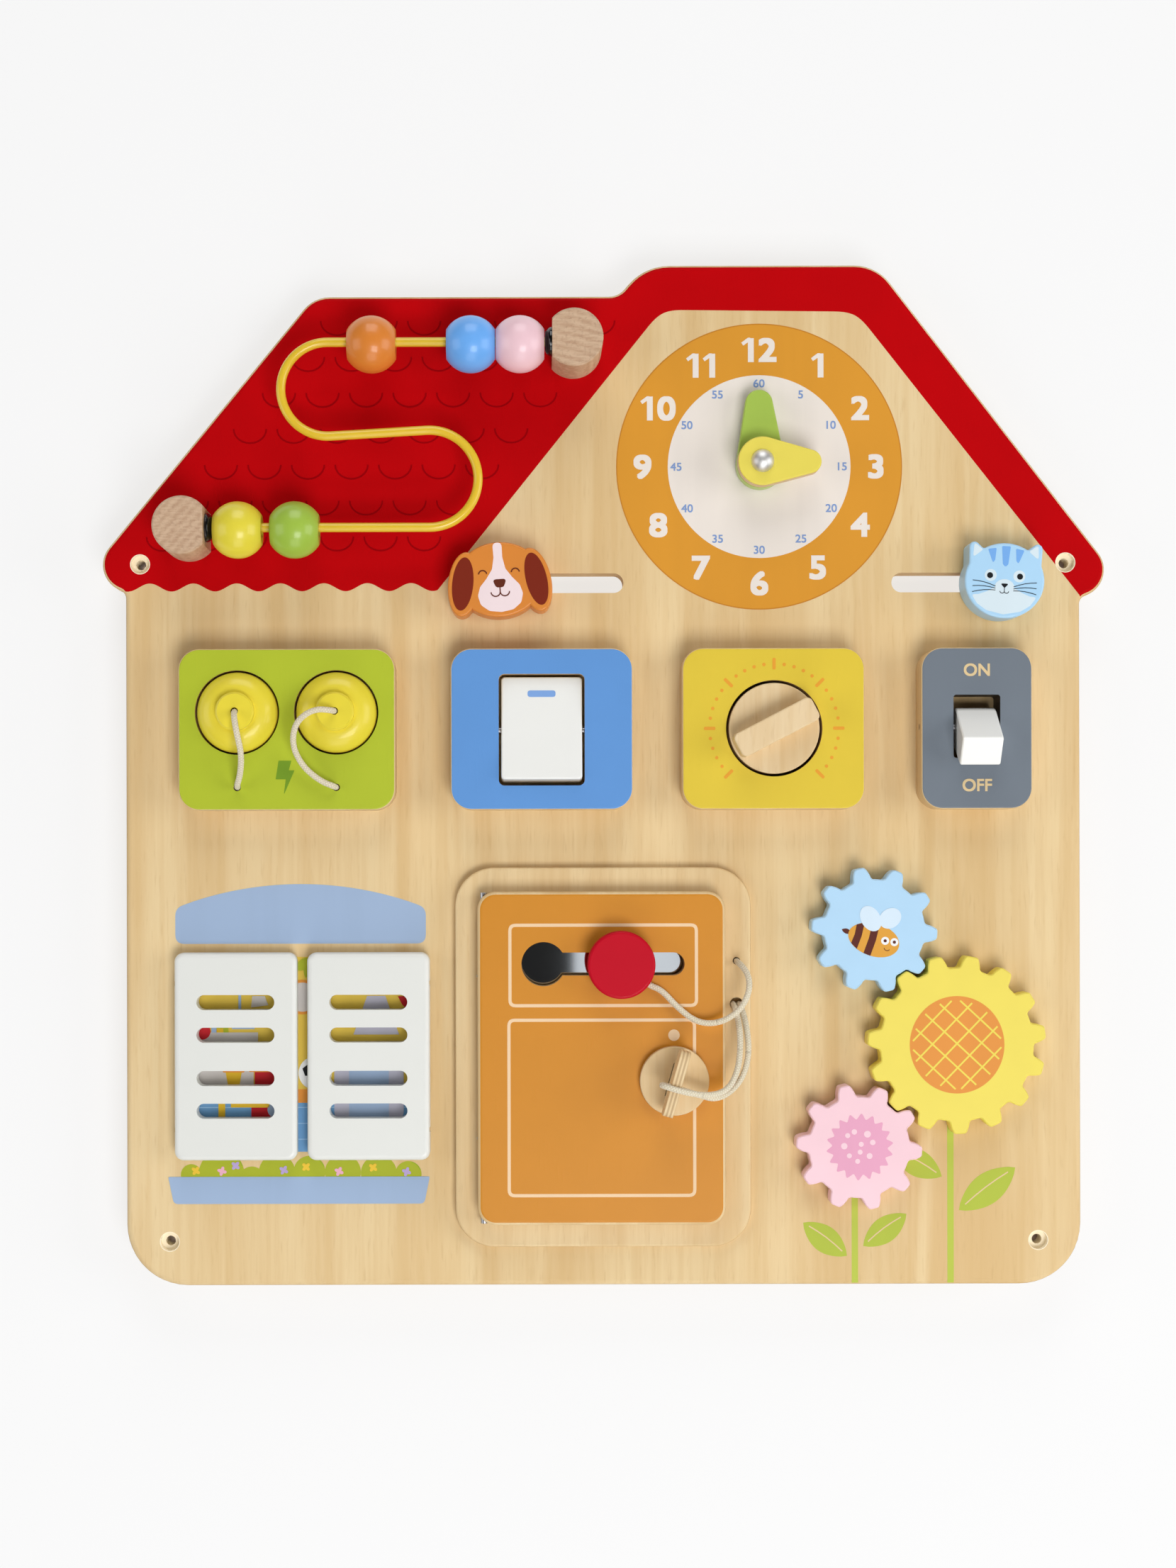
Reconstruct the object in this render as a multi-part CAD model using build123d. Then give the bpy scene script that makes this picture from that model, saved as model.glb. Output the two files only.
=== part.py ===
from build123d import *
import os
from math import acos, asin, atan2, cos, degrees, hypot, pi, radians, sin, sqrt, tan

os.makedirs("parts", exist_ok=True)

# House-shaped wooden busy board for a nursery wall. Millimetres.
#
# Every piece is drawn with the board lying on its back: x to the right, y up the
# board, z out of the wall. `save` stands each piece up, so that in the finished
# files +X is right, +Z is up and -Y faces the child. The origin is half way
# between the two upper wall screws, on the wall.

# ---------------------------------------------------------------- board
WALL_GAP = 12.0            # stand-off behind the board
BOARD_T = 12.0             # birch plywood
FACE = WALL_GAP + BOARD_T  # front face of the board
WALL_X = 210.0             # half width of the house wall
BOTTOM_Y = -317.5
BOTTOM_R = 27.0
EAVES_Y = 117.8            # top of the low roof
RIDGE_Y = 131.3            # top of the high roof
LOW_ROOF_X = -127.0        # left corner of the low roof
STEP_LOW_X = 7.2           # foot of the step between the roofs
STEP_HIGH_X = 18.6         # head of that step
HIGH_ROOF_X = 120.9        # right corner of the high roof
LOW_ROOF_R = 15.0
STEP_LOW_R = 9.0
STEP_HIGH_R = 24.0
HIGH_ROOF_R = 20.0
EAVE_R = 12.0              # rounded ends of the roof
LEFT_EAVE = (-208.2, 0.0)
RIGHT_EAVE = (209.0, -3.0)
EAVE_NECK_R = 4.0          # inside corner between roof end and wall
FRONT_EDGE_R = 2.5
BACK_EDGE_R = 1.5

# ---------------------------------------------------------------- wall fixing
UPPER_SPACING = 407.0
LOWER_SPACING = 382.0
LOWER_Y = -298.0
SCREW_HOLE_R = 2.15
COUNTERBORE_R = 4.15
COUNTERBORE_DEPTH = 3.5
SPACER_R = 10.0
SPACER_EDGE = 0.8

# ---------------------------------------------------------------- clearances
RUN = 0.05                 # radial running clearance of a shaft in its hole
REST = 0.3                 # gap under a piece that only rests on another
THIN_GAP = 0.1             # gap between stacked turning pieces
SLIDE_GAP = 0.3            # gap between a slider's stem and its slot

# ---------------------------------------------------------------- small hardware
SCREW_R = 1.7
SCREW_HEAD_R = 3.4
SCREW_HEAD_T = 2.2
SCREW_HEAD_EDGE = 0.6
PANEL_BITE = 8.0           # how far a screw reaches into a panel
BLOCK_BITE = 12.0
PLATE_BITE = 4.0
SPINDLE_R = 5.0            # turned wooden spindles behind gears and dial
SPINDLE_FLANGE_R = 10.0
SPINDLE_FLANGE_T = 4.0
FLANGE_GAP = 0.4           # flange to the back of the board
FLANGE_EDGE_R = 1.0
WASHER_T = 1.1
WASHER_R = 9.0
CORD_R = 1.3
CORD_HOLE_R = 1.6
CORD_SEAT = 4.0            # depth of a cord's blind hole

# ---------------------------------------------------------------- bead wire
WIRE_R = 2.0
WIRE_H = 17.5              # wire axis above the board
TOP_RUN_Y = 93.7
LEFT_BEND = (-119.4, 73.4)
RIGHT_BEND = (-75.4, 34.6)
LOW_RUN_Y = 13.6
BLOCK_R = 12.5
BLOCK_H = 28.0
BLOCK_FLAT = 9.4           # flat of a block from its centre
BLOCK_EDGE = 0.7
UPPER_BLOCK_X = -12.9
LOWER_BLOCK_X = -181.7
WIRE_SEAT = 5.0            # depth of the wire in a block
CAP_R = 6.3
CAP_T = 3.1
CAP_RIM = 0.9              # straight rim of a cap
CAP_SWELL = (2.6, 4.9)     # a point on its dome: depth and radius
CAP_FLAT_R = 3.1           # flat top of its dome
BEAD_R = 12.3
BEAD_L = 21.0
BEAD_BORE_R = 3.1
BEAD_GAP = 0.3
ORANGE_X = -100.4
GREEN_X = -133.7

# ---------------------------------------------------------------- clock
CLOCK = (68.9, 42.4)
BOLT_R = 2.4
DOME_R = 5.0
DOME_T = 3.6
HAND_T = 7.0
HAND_EDGE_R = 0.6
HUB_R = 10.6
MINUTE_L = 32.4
MINUTE_TIP_R = 6.0
MINUTE_AT = 91.6
HOUR_L = 25.6
HOUR_TIP_R = 5.2
HOUR_AT = -0.7
CLOCK_WASHER_T = 1.0
HAND_WASHER_T = 0.5
CLOCK_WASHER_R = 6.0
NUT_R = 4.6
NUT_T = 4.0
BOLT_PAST_NUT = 1.0

# ---------------------------------------------------------------- animal sliders
SLOT_Y = -8.7
SLOT_W = 8.6
HEAD_T = 15.0
HEAD_EDGE_R = 0.9
HEAD_HOLE = 6.0            # how far a slider's stem enters its head
DOG_X = -45.3
DOG_SLOT_END = 9.1
DOG_TILT = 4.0
DOG_HEAD = (19.0, 16.2)    # half width and half height
DOG_EAR = (6.9, 14.0)
DOG_EAR_AT = (15.5, -1.0)
DOG_EAR_TURN = 9.5
CAT_X = 173.8
CAT_SLOT_END = 127.0
CAT_TILT = -3.0
CAT_HEAD = (17.3, 16.3)    # half width and half height
CAT_HEAD_Y = -1.0
CAT_EAR_TIP = (16.1, 18.3)
CAT_EAR_IN = (7.0, 10.0)   # feet of an ear, inside the head
CAT_EAR_OUT = (15.6, 3.0)
CAT_EAR_R = 2.2
CAT_NECK_IN = (9.7, 12.5)  # where an ear meets the head
CAT_NECK_IN_R = 1.5
CAT_NECK_OUT = (15.7, 5.9)
CAT_NECK_OUT_R = 2.5
SLIDER_FLANGE_R = 11.0

# ---------------------------------------------------------------- raised panels
PANEL_T = 15.0
PANEL_H = 70.0
PANEL_Y = -73.6
PANEL_R = 9.2
PANEL_EDGE_R = 0.8
PANEL_SCREW_IN = 8.0
GREEN_W = 94.0
GREEN_C = -137.7
SWITCH_W = 79.0
BLUE_C = -27.1
YELLOW_C = 73.4
GREY_W = 48.0
GREY_C = 161.6

# ---------------------------------------------------------------- socket plugs
WELL_R = 18.3
WELL_Y = -66.2
WELL_PITCH = 43.0
PLUG_R = 17.5
PLUG_SIDE = 13.4           # straight side of a plug
PLUG_DOME = 21.2
PLUG_BUTTON_R = 8.3
PLUG_TOP = 25.0
PLUG_EDGE = 0.8
PLUG_NECK = 1.2            # dome's rim outside the button
PLUG_SWELL = (15.2, 18.5)  # a point on the dome: radius and height
PANEL_CORD_Y = -98.7

# ---------------------------------------------------------------- rocker switch
ROCKER_Y = -73.9
ROCKER_PIVOT_H = 8.5
ROCKER_TILT = 7.0
ROCKER_W = 35.1
ROCKER_L = 45.0
ROCKER_UP = 6.5            # pivot to front face
ROCKER_DOWN = 5.0          # pivot to back face
ROCKER_CORNER_R = 1.6
ROCKER_EDGE_R = 0.9
ROCKER_OPENING_W = 37.3
ROCKER_OPENING_L = 48.4
OPENING_R = 2.5
PIN_R = 1.5
PIN_BITE = 7.0             # length of a pin in the panel at each end

# ---------------------------------------------------------------- dial
DIAL = (73.7, -73.5)
DIAL_HOLE_R = 20.9
DIAL_R = 19.7
DIAL_TOP = 15.5
DIAL_EDGE_R = 0.6
GRIP_L = 37.5
GRIP_W = 11.0
GRIP_H = 11.0
GRIP_AT = 27.4
GRIP_CORNER_R = 2.6
GRIP_EDGE_R = 0.8
DIAL_HOLE = 8.0            # depth of the spindle's hole

# ---------------------------------------------------------------- toggle switch
TOGGLE_Y = -72.8
TOGGLE_PIVOT_H = 9.0
TOGGLE_TILT = 34.0
TOGGLE_REACH = 20.6        # pivot to tip face
TOGGLE_TIP_T = 13.8
TOGGLE_HUB_R = 8.3
TOGGLE_W = 17.4
TOGGLE_TIP_R = 1.0
TOGGLE_EDGE = 0.5
TOGGLE_WINDOW_W = 20.3
TOGGLE_WINDOW_L = 27.4

# ---------------------------------------------------------------- shutters
SHUTTER_W = 53.6
SHUTTER_L = 90.7
SHUTTER_T = 8.0
SHUTTER_R = 4.0
SHUTTER_EDGE_R = 2.2
SHUTTER_GAP = 1.0
SHUTTER_Y = -216.0
LEFT_SHUTTER_X = -160.9
RIGHT_SHUTTER_X = -102.9
PEEP_L = 34.0
PEEP_W = 6.6
PEEP_OUT = 23.7            # outer peep slots from the middle
PEEP_IN = 9.45             # inner peep slots from the middle
SHUTTER_AXIS_IN = 4.0      # hinge axis from the outer edge
SHUTTER_EYE_OFF = 32.0     # hinge eyes from the middle
EYE_R = 2.2                # hinge eye, to the middle of its wire
EYE_WIRE_R = 0.7
EYE_SHANK_L = 8.0
SHUTTER_PIN_PAST = 7.0     # how far a hinge pin runs past its eye
PIN_SINK = 0.5             # end of a hinge pin below the leaf's end

# ---------------------------------------------------------------- door
PLATE_W = 129.5
PLATE_L = 166.2
PLATE_T = 5.0
PLATE_R = 17.0
PLATE_C = (-0.4, -216.7)
PLATE_OPEN_W = 90.0
PLATE_OPEN_L = 127.0
PLATE_OPEN_R = 6.0
PLATE_EDGE_R = 1.2
MIRROR_T = 2.0
MIRROR_SINK = 2.2          # depth of the mirror's pocket
MIRROR_GAP = 0.3
DOOR_W = 107.8
DOOR_L = 144.9
DOOR_T = 9.0
DOOR_R = 8.0
DOOR_EDGE_R = 2.0
DOOR_GAP = 0.5
DOOR_C = (-1.4, -216.55)
DOOR_AXIS_IN = 2.8
DOOR_EYES_Y = (-180.9, -251.5)
DOOR_EYE_R = 2.5
DOOR_EYE_WIRE_R = 0.8
DOOR_PIN_PAST = 9.0
NOTCH_PLAY = 0.3
SHUTTER_SKIN = 1.2         # wood left in front of a hinge eye's shank
DOOR_SKIN = 1.4
SHANK_LIFT = 0.35          # extra room beside a hinge eye's shank
NOTCH_PAST = 1.0           # how far a notch is cut past the leaf's edge
NOTCH_DEPTH = 10.0         # and behind the hinge axis, past the leaf's back
CORD_HOLE_X = 58.0
KNOB_CORD_Y = -174.7
KEY_CORD_Y = -193.6
KEY_CORD_HOLE_R = 2.9

# ---------------------------------------------------------------- sliding knob
KEYHOLE_Y = -175.6
KEYHOLE_X = -26.5
KEYHOLE_R = 9.6
TRACK_END_X = 29.7
TRACK_W = 10.0
KNOB_X = 6.9
KNOB_R = 14.6
KNOB_T = 7.5
KNOB_LIFT = 3.8            # cap to the front of the door
KNOB_STEM_R = 4.3
KNOB_FLANGE_R = 8.8
KNOB_FLANGE_T = 4.0
KNOB_FLANGE_GAP = 0.5
KNOB_CORD_AT = -38.0       # direction in which the cord leaves the stem
KNOB_SEAT = 3.0            # depth of the cord in the stem
KNOB_EDGE_R = 1.2
KNOB_BACK_EDGE_R = 0.6
KNOB_FLANGE_EDGE_R = 0.5

# ---------------------------------------------------------------- lock and key
LOCK = (30.0, -226.1)
LOCK_AT = 74.0             # direction of the key's blade
LOCK_R = 15.0
LOCK_T = 3.7
LOCK_HUB_R = 8.0
LOCK_EDGE_R = 0.6
LOCK_BACK_EDGE_R = 0.4
LATCH_H = 0.4              # latch bar above the board
LATCH_T = 2.0
LATCH_REACH = 19.6
LATCH_TAIL = 8.0
LATCH_W = 9.0
LATCH_END_GAP = 0.8        # bar's end to its rebate
LATCH_TOP_GAP = 0.4        # bar's top to its rebate
LATCH_SCREW_R = 1.4
LATCH_SCREW_HEAD_R = 2.8
LATCH_SCREW_HEAD_T = 1.4
LATCH_SCREW_END_GAP = 1.0  # screw's end to the key's slot
KEY_T = 4.3
KEY_TONGUE_W = 14.0
KEY_TONGUE_L = 10.0
KEY_WING_W = 29.0
KEY_H = 16.8               # key above the lock disc
KEY_FLARE = 5.2            # height of the flare below the wings
KEY_SLOT_PLAY = 0.3
KEY_TOP_R = 3.2
KEY_FLARE_R = 2.5
KEY_HOLE_OFF = -2.0        # cord hole from the middle of the key
KEY_HOLE_DOWN = 6.0        # cord hole below the key's top
KEY_LOOP_GAP = 0.3         # cord above the key's top edge

# ---------------------------------------------------------------- gears
BLUE_GEAR = (117.6, -161.1)
YELLOW_GEAR = (153.4, -211.2)
PINK_GEAR = (110.8, -255.8)
SMALL_TEETH = 10
BIG_TEETH = 15
PRESSURE_DEG = 27.0
SMALL_ADDENDUM = 2.8
BIG_ADDENDUM = 1.9
ROOT_GAP = 0.7             # tip of one gear to the root of the other
BACKLASH = 0.7             # tooth thinning on the pitch circle
TIP_R = 1.6
ROOT_R = 1.7
GEAR_T = 10.0
GEAR_EDGE = 0.5
SHORTEST_EDGE = 0.01       # a step at a tooth's root below this is left out
GEAR_HOLE = 5.0            # depth of the spindle's hole
BLUE_GEAR_AT = -4.2


# ================================================================ helpers
def slab(face, low, high):
    """A flat piece between two heights above the wall."""
    return Pos(0, 0, low) * extrude(face, high - low)


def post(x, y, radius, low, high):
    """A round post or drilling square to the board."""
    return Pos(x, y, low) * Cylinder(radius, high - low, align=(Align.CENTER, Align.CENTER, Align.MIN))


def ring(x, y, inner, outer, low, high):
    return post(x, y, outer, low, high) - post(x, y, inner, low, high)


def along_x(x, y, z, radius, length):
    """A rod along x, centred on the point."""
    return Pos(x, y, z) * Rot(0, 90, 0) * Cylinder(radius, length)


def along_y(x, low, high, z, radius):
    """A rod along y between two places on the board."""
    return Pos(x, (low + high) / 2, z) * Rot(90, 0, 0) * Cylinder(radius, high - low)


def round_corner(face, point, radius):
    """Round the corner of a flat outline nearest to a point."""
    corner = face.vertices().sort_by_distance((point[0], point[1], 0))[0]
    return fillet(corner, radius)


def soften(piece, front=0.0, back=0.0):
    """Round over the outer front and back edges of a flat piece."""
    if front:
        piece = fillet(piece.faces().sort_by(Axis.Z)[-1].outer_wire().edges(), front)
    if back:
        piece = fillet(piece.faces().sort_by(Axis.Z)[0].outer_wire().edges(), back)
    return piece


def at_angle(centre, radius, angle):
    return (centre[0] + radius * cos(radians(angle)), centre[1] + radius * sin(radians(angle)))


def save(name, *pieces):
    """Stand a piece, or a set of like pieces, upright and write its STEP file."""
    solids = [Plane.XZ.location * solid for piece in pieces for solid in piece.solids()]
    shape = solids[0] if len(solids) == 1 else Compound(children=solids)
    export_step(shape, f"parts/{name}.step")


# ================================================================ main board
def tangent_point(corner, centre, radius, side):
    """Where a line from a corner touches a circle."""
    away = atan2(corner[1] - centre[1], corner[0] - centre[0])
    spread = acos(radius / hypot(corner[0] - centre[0], corner[1] - centre[1]))
    return at_angle(centre, radius, degrees(away + side * spread))


def house_outline():
    """Two-level roof with rounded eaves over straight walls."""
    low_corner = (LOW_ROOF_X, EAVES_Y)
    step_low = (STEP_LOW_X, EAVES_Y)
    step_high = (STEP_HIGH_X, RIDGE_Y)
    high_corner = (HIGH_ROOF_X, RIDGE_Y)
    left_touch = tangent_point(low_corner, LEFT_EAVE, EAVE_R, 1)
    right_touch = tangent_point(high_corner, RIGHT_EAVE, EAVE_R, -1)
    corners = [LEFT_EAVE, left_touch, low_corner, step_low, step_high, high_corner, right_touch, RIGHT_EAVE]
    roof = make_face(Polyline(*corners, close=True))
    for corner, radius in (
        (low_corner, LOW_ROOF_R),
        (step_low, STEP_LOW_R),
        (step_high, STEP_HIGH_R),
        (high_corner, HIGH_ROOF_R),
    ):
        roof = round_corner(roof, corner, radius)
    wall = Pos(0, BOTTOM_Y / 2) * Rectangle(2 * WALL_X, -BOTTOM_Y)
    for side in (-1, 1):
        wall = round_corner(wall, (side * WALL_X, BOTTOM_Y), BOTTOM_R)
    outline = roof + wall
    for (x, y), side in ((LEFT_EAVE, -1), (RIGHT_EAVE, 1)):
        outline += Pos(x, y) * Circle(EAVE_R)
        neck = (side * WALL_X, y - sqrt(EAVE_R**2 - (side * WALL_X - x) ** 2))
        outline = round_corner(outline, neck, EAVE_NECK_R)
    return outline


def wall_holes():
    """Centres of the four wall screws."""
    upper = [(side * UPPER_SPACING / 2, 0.0) for side in (-1, 1)]
    lower = [(side * LOWER_SPACING / 2, LOWER_Y) for side in (-1, 1)]
    return upper + lower


def slider_slot(stem_x, end_x, low, high):
    """A track in the board from a slider's stem to the far end of its travel."""
    near = stem_x + (SLOT_W / 2 if end_x < stem_x else -SLOT_W / 2)
    face = Pos((near + end_x) / 2, SLOT_Y) * SlotOverall(abs(near - end_x), SLOT_W)
    return slab(face, low, high)


def screw_places():
    """Centres of the screws behind the board, and how far each bites into its piece."""
    places = []
    for centre, width in ((GREEN_C, GREEN_W), (BLUE_C, SWITCH_W), (YELLOW_C, SWITCH_W), (GREY_C, GREY_W)):
        dx = width / 2 - PANEL_SCREW_IN
        dy = PANEL_H / 2 - PANEL_SCREW_IN
        rise = -1 if centre == GREEN_C else 1
        places.append((centre - dx, PANEL_Y + rise * dy, PANEL_BITE))
        places.append((centre + dx, PANEL_Y - rise * dy, PANEL_BITE))
    places.append((UPPER_BLOCK_X, TOP_RUN_Y, BLOCK_BITE))
    places.append((LOWER_BLOCK_X, LOW_RUN_Y, BLOCK_BITE))
    plate_dx = (PLATE_W + PLATE_OPEN_W) / 4
    plate_dy = (PLATE_L + PLATE_OPEN_L) / 4
    for side_x in (-1, 1):
        for side_y in (-1, 1):
            places.append((PLATE_C[0] + side_x * plate_dx, PLATE_C[1] + side_y * plate_dy, PLATE_BITE))
    return places


def screw(x, y, bite):
    head = post(x, y, SCREW_HEAD_R, WALL_GAP - SCREW_HEAD_T, WALL_GAP)
    head = chamfer(head.edges().group_by(Axis.Z)[0], SCREW_HEAD_EDGE)
    return head + post(x, y, SCREW_R, WALL_GAP, FACE + bite)


def screw_hole(x, y, bite):
    return post(x, y, SCREW_R + RUN, WALL_GAP, FACE + bite + RUN)


def spindle_centres():
    return [BLUE_GEAR, YELLOW_GEAR, PINK_GEAR, DIAL]


def shutter_axis(centre_x, side):
    """x of a shutter's hinge: side -1 hangs on its left edge, 1 on its right."""
    return centre_x + side * (SHUTTER_W / 2 - SHUTTER_AXIS_IN)


def shutter_axis_height():
    return FACE + SHUTTER_GAP + SHUTTER_T / 2


def door_axis_x():
    return DOOR_C[0] - DOOR_W / 2 + DOOR_AXIS_IN


def door_back():
    return FACE + PLATE_T + DOOR_GAP


def door_front():
    return door_back() + DOOR_T


def make_main_board():
    board = soften(slab(house_outline(), WALL_GAP, FACE), FRONT_EDGE_R, BACK_EDGE_R)
    for x, y in wall_holes():
        board -= post(x, y, SCREW_HOLE_R, WALL_GAP, FACE)
        board -= post(x, y, COUNTERBORE_R, FACE - COUNTERBORE_DEPTH, FACE)
    board -= slider_slot(DOG_X, DOG_SLOT_END, WALL_GAP, FACE)
    board -= slider_slot(CAT_X, CAT_SLOT_END, WALL_GAP, FACE)
    board -= post(*CLOCK, BOLT_R + RUN, WALL_GAP, FACE)
    for x, y in spindle_centres():
        board -= post(x, y, SPINDLE_R + RUN, WALL_GAP, FACE)
    for place in screw_places():
        board -= screw_hole(*place)
    pocket = Pos(*PLATE_C) * RectangleRounded(PLATE_OPEN_W, PLATE_OPEN_L, PLATE_OPEN_R)
    board -= slab(pocket, FACE - MIRROR_SINK, FACE)
    for side, centre in ((-1, LEFT_SHUTTER_X), (1, RIGHT_SHUTTER_X)):
        for off in (-SHUTTER_EYE_OFF, SHUTTER_EYE_OFF):
            x = shutter_axis(centre, side)
            board -= post(x, SHUTTER_Y + off, EYE_WIRE_R + RUN, FACE - EYE_SHANK_L, FACE)
    for y in DOOR_EYES_Y:
        board -= post(door_axis_x(), y, DOOR_EYE_WIRE_R + RUN, FACE - EYE_SHANK_L, FACE)
    return board


def make_wall_spacers():
    spacers = []
    for x, y in wall_holes():
        spacer = ring(x, y, SCREW_HOLE_R, SPACER_R, 0, WALL_GAP)
        spacers.append(chamfer(spacer.faces().sort_by(Axis.Z)[0].outer_wire().edges(), SPACER_EDGE))
    return spacers


# ================================================================ bead wire
def bend_touch():
    """Ends of the sloping middle run, tangent to both bends of the wire."""
    left_r = TOP_RUN_Y - LEFT_BEND[1]
    right_r = RIGHT_BEND[1] - LOW_RUN_Y
    dx = RIGHT_BEND[0] - LEFT_BEND[0]
    dy = RIGHT_BEND[1] - LEFT_BEND[1]
    slope = atan2(dy, dx) + asin((left_r + right_r) / hypot(dx, dy))
    left = (LEFT_BEND[0] + left_r * sin(slope), LEFT_BEND[1] - left_r * cos(slope))
    right = (RIGHT_BEND[0] - right_r * sin(slope), RIGHT_BEND[1] + right_r * cos(slope))
    return left, right


def make_wire():
    """S-shaped wire: a top run, two wide bends and a low run, in one plane."""
    left_r = TOP_RUN_Y - LEFT_BEND[1]
    right_r = RIGHT_BEND[1] - LOW_RUN_Y
    left_touch, right_touch = bend_touch()
    top_end = (UPPER_BLOCK_X - BLOCK_FLAT + WIRE_SEAT, TOP_RUN_Y)
    low_end = (LOWER_BLOCK_X + BLOCK_FLAT - WIRE_SEAT, LOW_RUN_Y)
    left_far = (LEFT_BEND[0] - left_r, LEFT_BEND[1])
    right_far = (RIGHT_BEND[0] + right_r, RIGHT_BEND[1])
    path = Line(top_end, (LEFT_BEND[0], TOP_RUN_Y))
    path += ThreePointArc((LEFT_BEND[0], TOP_RUN_Y), left_far, left_touch)
    path += Line(left_touch, right_touch)
    path += ThreePointArc(right_touch, right_far, (RIGHT_BEND[0], LOW_RUN_Y))
    path += Line((RIGHT_BEND[0], LOW_RUN_Y), low_end)
    section = Plane(origin=(*top_end, 0), z_dir=(-1, 0, 0)) * Circle(WIRE_R)
    return Pos(0, 0, FACE + WIRE_H) * sweep(section, path=path)


def make_block(x, y, side):
    """A dowel end standing on the board, cut flat where the wire enters it."""
    block = post(x, y, BLOCK_R, FACE, FACE + BLOCK_H)
    block = chamfer(block.edges().group_by(Axis.Z)[-1], BLOCK_EDGE)
    reach = BLOCK_R - BLOCK_FLAT
    off = side * (BLOCK_FLAT + reach / 2)
    block -= Pos(x + off, y, FACE + BLOCK_H / 2) * Box(reach, 2 * BLOCK_R, BLOCK_H)
    hole_x = x + side * (BLOCK_FLAT - WIRE_SEAT / 2)
    block -= along_x(hole_x, y, FACE + WIRE_H, WIRE_R + RUN, WIRE_SEAT)
    return block - screw_hole(x, y, BLOCK_BITE)


def make_cap(x, y, side):
    """Domed plastic cap washer on the flat of a block, its dome towards the beads."""
    bore = WIRE_R + RUN
    foot = Line((0, bore), (0, CAP_R)) + Line((0, CAP_R), (CAP_RIM, CAP_R))
    dome = ThreePointArc((CAP_RIM, CAP_R), CAP_SWELL, (CAP_T, CAP_FLAT_R))
    back = Line((CAP_T, CAP_FLAT_R), (CAP_T, bore)) + Line((CAP_T, bore), (0, bore))
    cap = revolve(make_face(foot + dome + back), Axis.X)
    turned = cap if side > 0 else Rot(0, 180, 0) * cap
    return Pos(x + side * BLOCK_FLAT, y, FACE + WIRE_H) * turned


def make_bead(x, run_y):
    """A ball with flat ends that hangs on the wire by its bore."""
    flat = BEAD_L / 2
    rim = sqrt(BEAD_R**2 - flat**2)
    arc = ThreePointArc((-flat, rim), (0, BEAD_R), (flat, rim))
    left = Line((-flat, BEAD_BORE_R), (-flat, rim))
    right = Line((flat, rim), (flat, BEAD_BORE_R))
    bore = Line((flat, BEAD_BORE_R), (-flat, BEAD_BORE_R))
    hang = BEAD_BORE_R - WIRE_R - RUN
    return Pos(x, run_y - hang, FACE + WIRE_H) * revolve(make_face(left + arc + right + bore), Axis.X)


def bead_places():
    """Name, x and run of every bead."""
    pink_x = UPPER_BLOCK_X - BLOCK_FLAT - CAP_T - BEAD_GAP - BEAD_L / 2
    blue_x = pink_x - BEAD_L - BEAD_GAP
    yellow_x = LOWER_BLOCK_X + BLOCK_FLAT + CAP_T + BEAD_GAP + BEAD_L / 2
    return [
        ("orange_bead", ORANGE_X, TOP_RUN_Y),
        ("blue_bead", blue_x, TOP_RUN_Y),
        ("pink_bead", pink_x, TOP_RUN_Y),
        ("yellow_bead", yellow_x, LOW_RUN_Y),
        ("green_bead", GREEN_X, LOW_RUN_Y),
    ]


# ================================================================ clock
def clock_levels():
    """Heights of the stack on the clock bolt: both hands, the washer between, the dome."""
    minute = FACE + CLOCK_WASHER_T + THIN_GAP
    washer = minute + HAND_T + THIN_GAP
    hour = washer + HAND_WASHER_T + THIN_GAP
    dome = hour + HAND_T + THIN_GAP
    return minute, washer, hour, dome


def make_hand(length, tip_r, angle, low):
    """A flat tapered hand: a round hub, a smaller round tip and straight sides tangent to both."""
    tip = length - tip_r
    lean = degrees(acos((HUB_R - tip_r) / tip))
    sides = [at_angle((0, 0), HUB_R, lean), at_angle((tip, 0), tip_r, lean)]
    sides += [at_angle((tip, 0), tip_r, -lean), at_angle((0, 0), HUB_R, -lean)]
    face = make_face(Polyline(*sides, close=True)) + Circle(HUB_R) + Pos(tip, 0) * Circle(tip_r)
    hand = soften(slab(face, low, low + HAND_T), HAND_EDGE_R, HAND_EDGE_R)
    hand -= post(0, 0, BOLT_R + RUN, low, low + HAND_T)
    return Pos(*CLOCK) * Rot(0, 0, angle) * hand


def make_clock_bolt():
    """Chromed bolt with a domed head in front and its end in a nut behind the board."""
    dome_low = clock_levels()[3]
    ball_r = (DOME_R**2 + DOME_T**2) / (2 * DOME_T)
    ball_y = DOME_T - ball_r
    rim = degrees(atan2(-ball_y, DOME_R))
    profile = Line((0, 0), (DOME_R, 0))
    profile += ThreePointArc((DOME_R, 0), at_angle((0, ball_y), ball_r, (rim + 90) / 2), (0, DOME_T))
    profile += Line((0, DOME_T), (0, 0))
    dome = revolve(Plane.XZ * make_face(profile), Axis.Z)
    tail = WALL_GAP - NUT_T - BOLT_PAST_NUT
    return Pos(*CLOCK, dome_low) * dome + post(*CLOCK, BOLT_R, tail, dome_low)


def make_clock_nut():
    nut = slab(Pos(*CLOCK) * RegularPolygon(NUT_R, 6), WALL_GAP - NUT_T, WALL_GAP)
    return nut - post(*CLOCK, BOLT_R + RUN, WALL_GAP - NUT_T, WALL_GAP)


def make_washers():
    """Spacers on the clock bolt and under the gears and the dial."""
    between = clock_levels()[1]
    bore = BOLT_R + RUN
    washers = [ring(*CLOCK, bore, CLOCK_WASHER_R, FACE, FACE + CLOCK_WASHER_T)]
    washers.append(ring(*CLOCK, bore, CLOCK_WASHER_R, between, between + HAND_WASHER_T))
    for x, y in spindle_centres():
        washers.append(ring(x, y, SPINDLE_R + 2 * RUN, WASHER_R, FACE, FACE + WASHER_T))
    return washers


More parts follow.
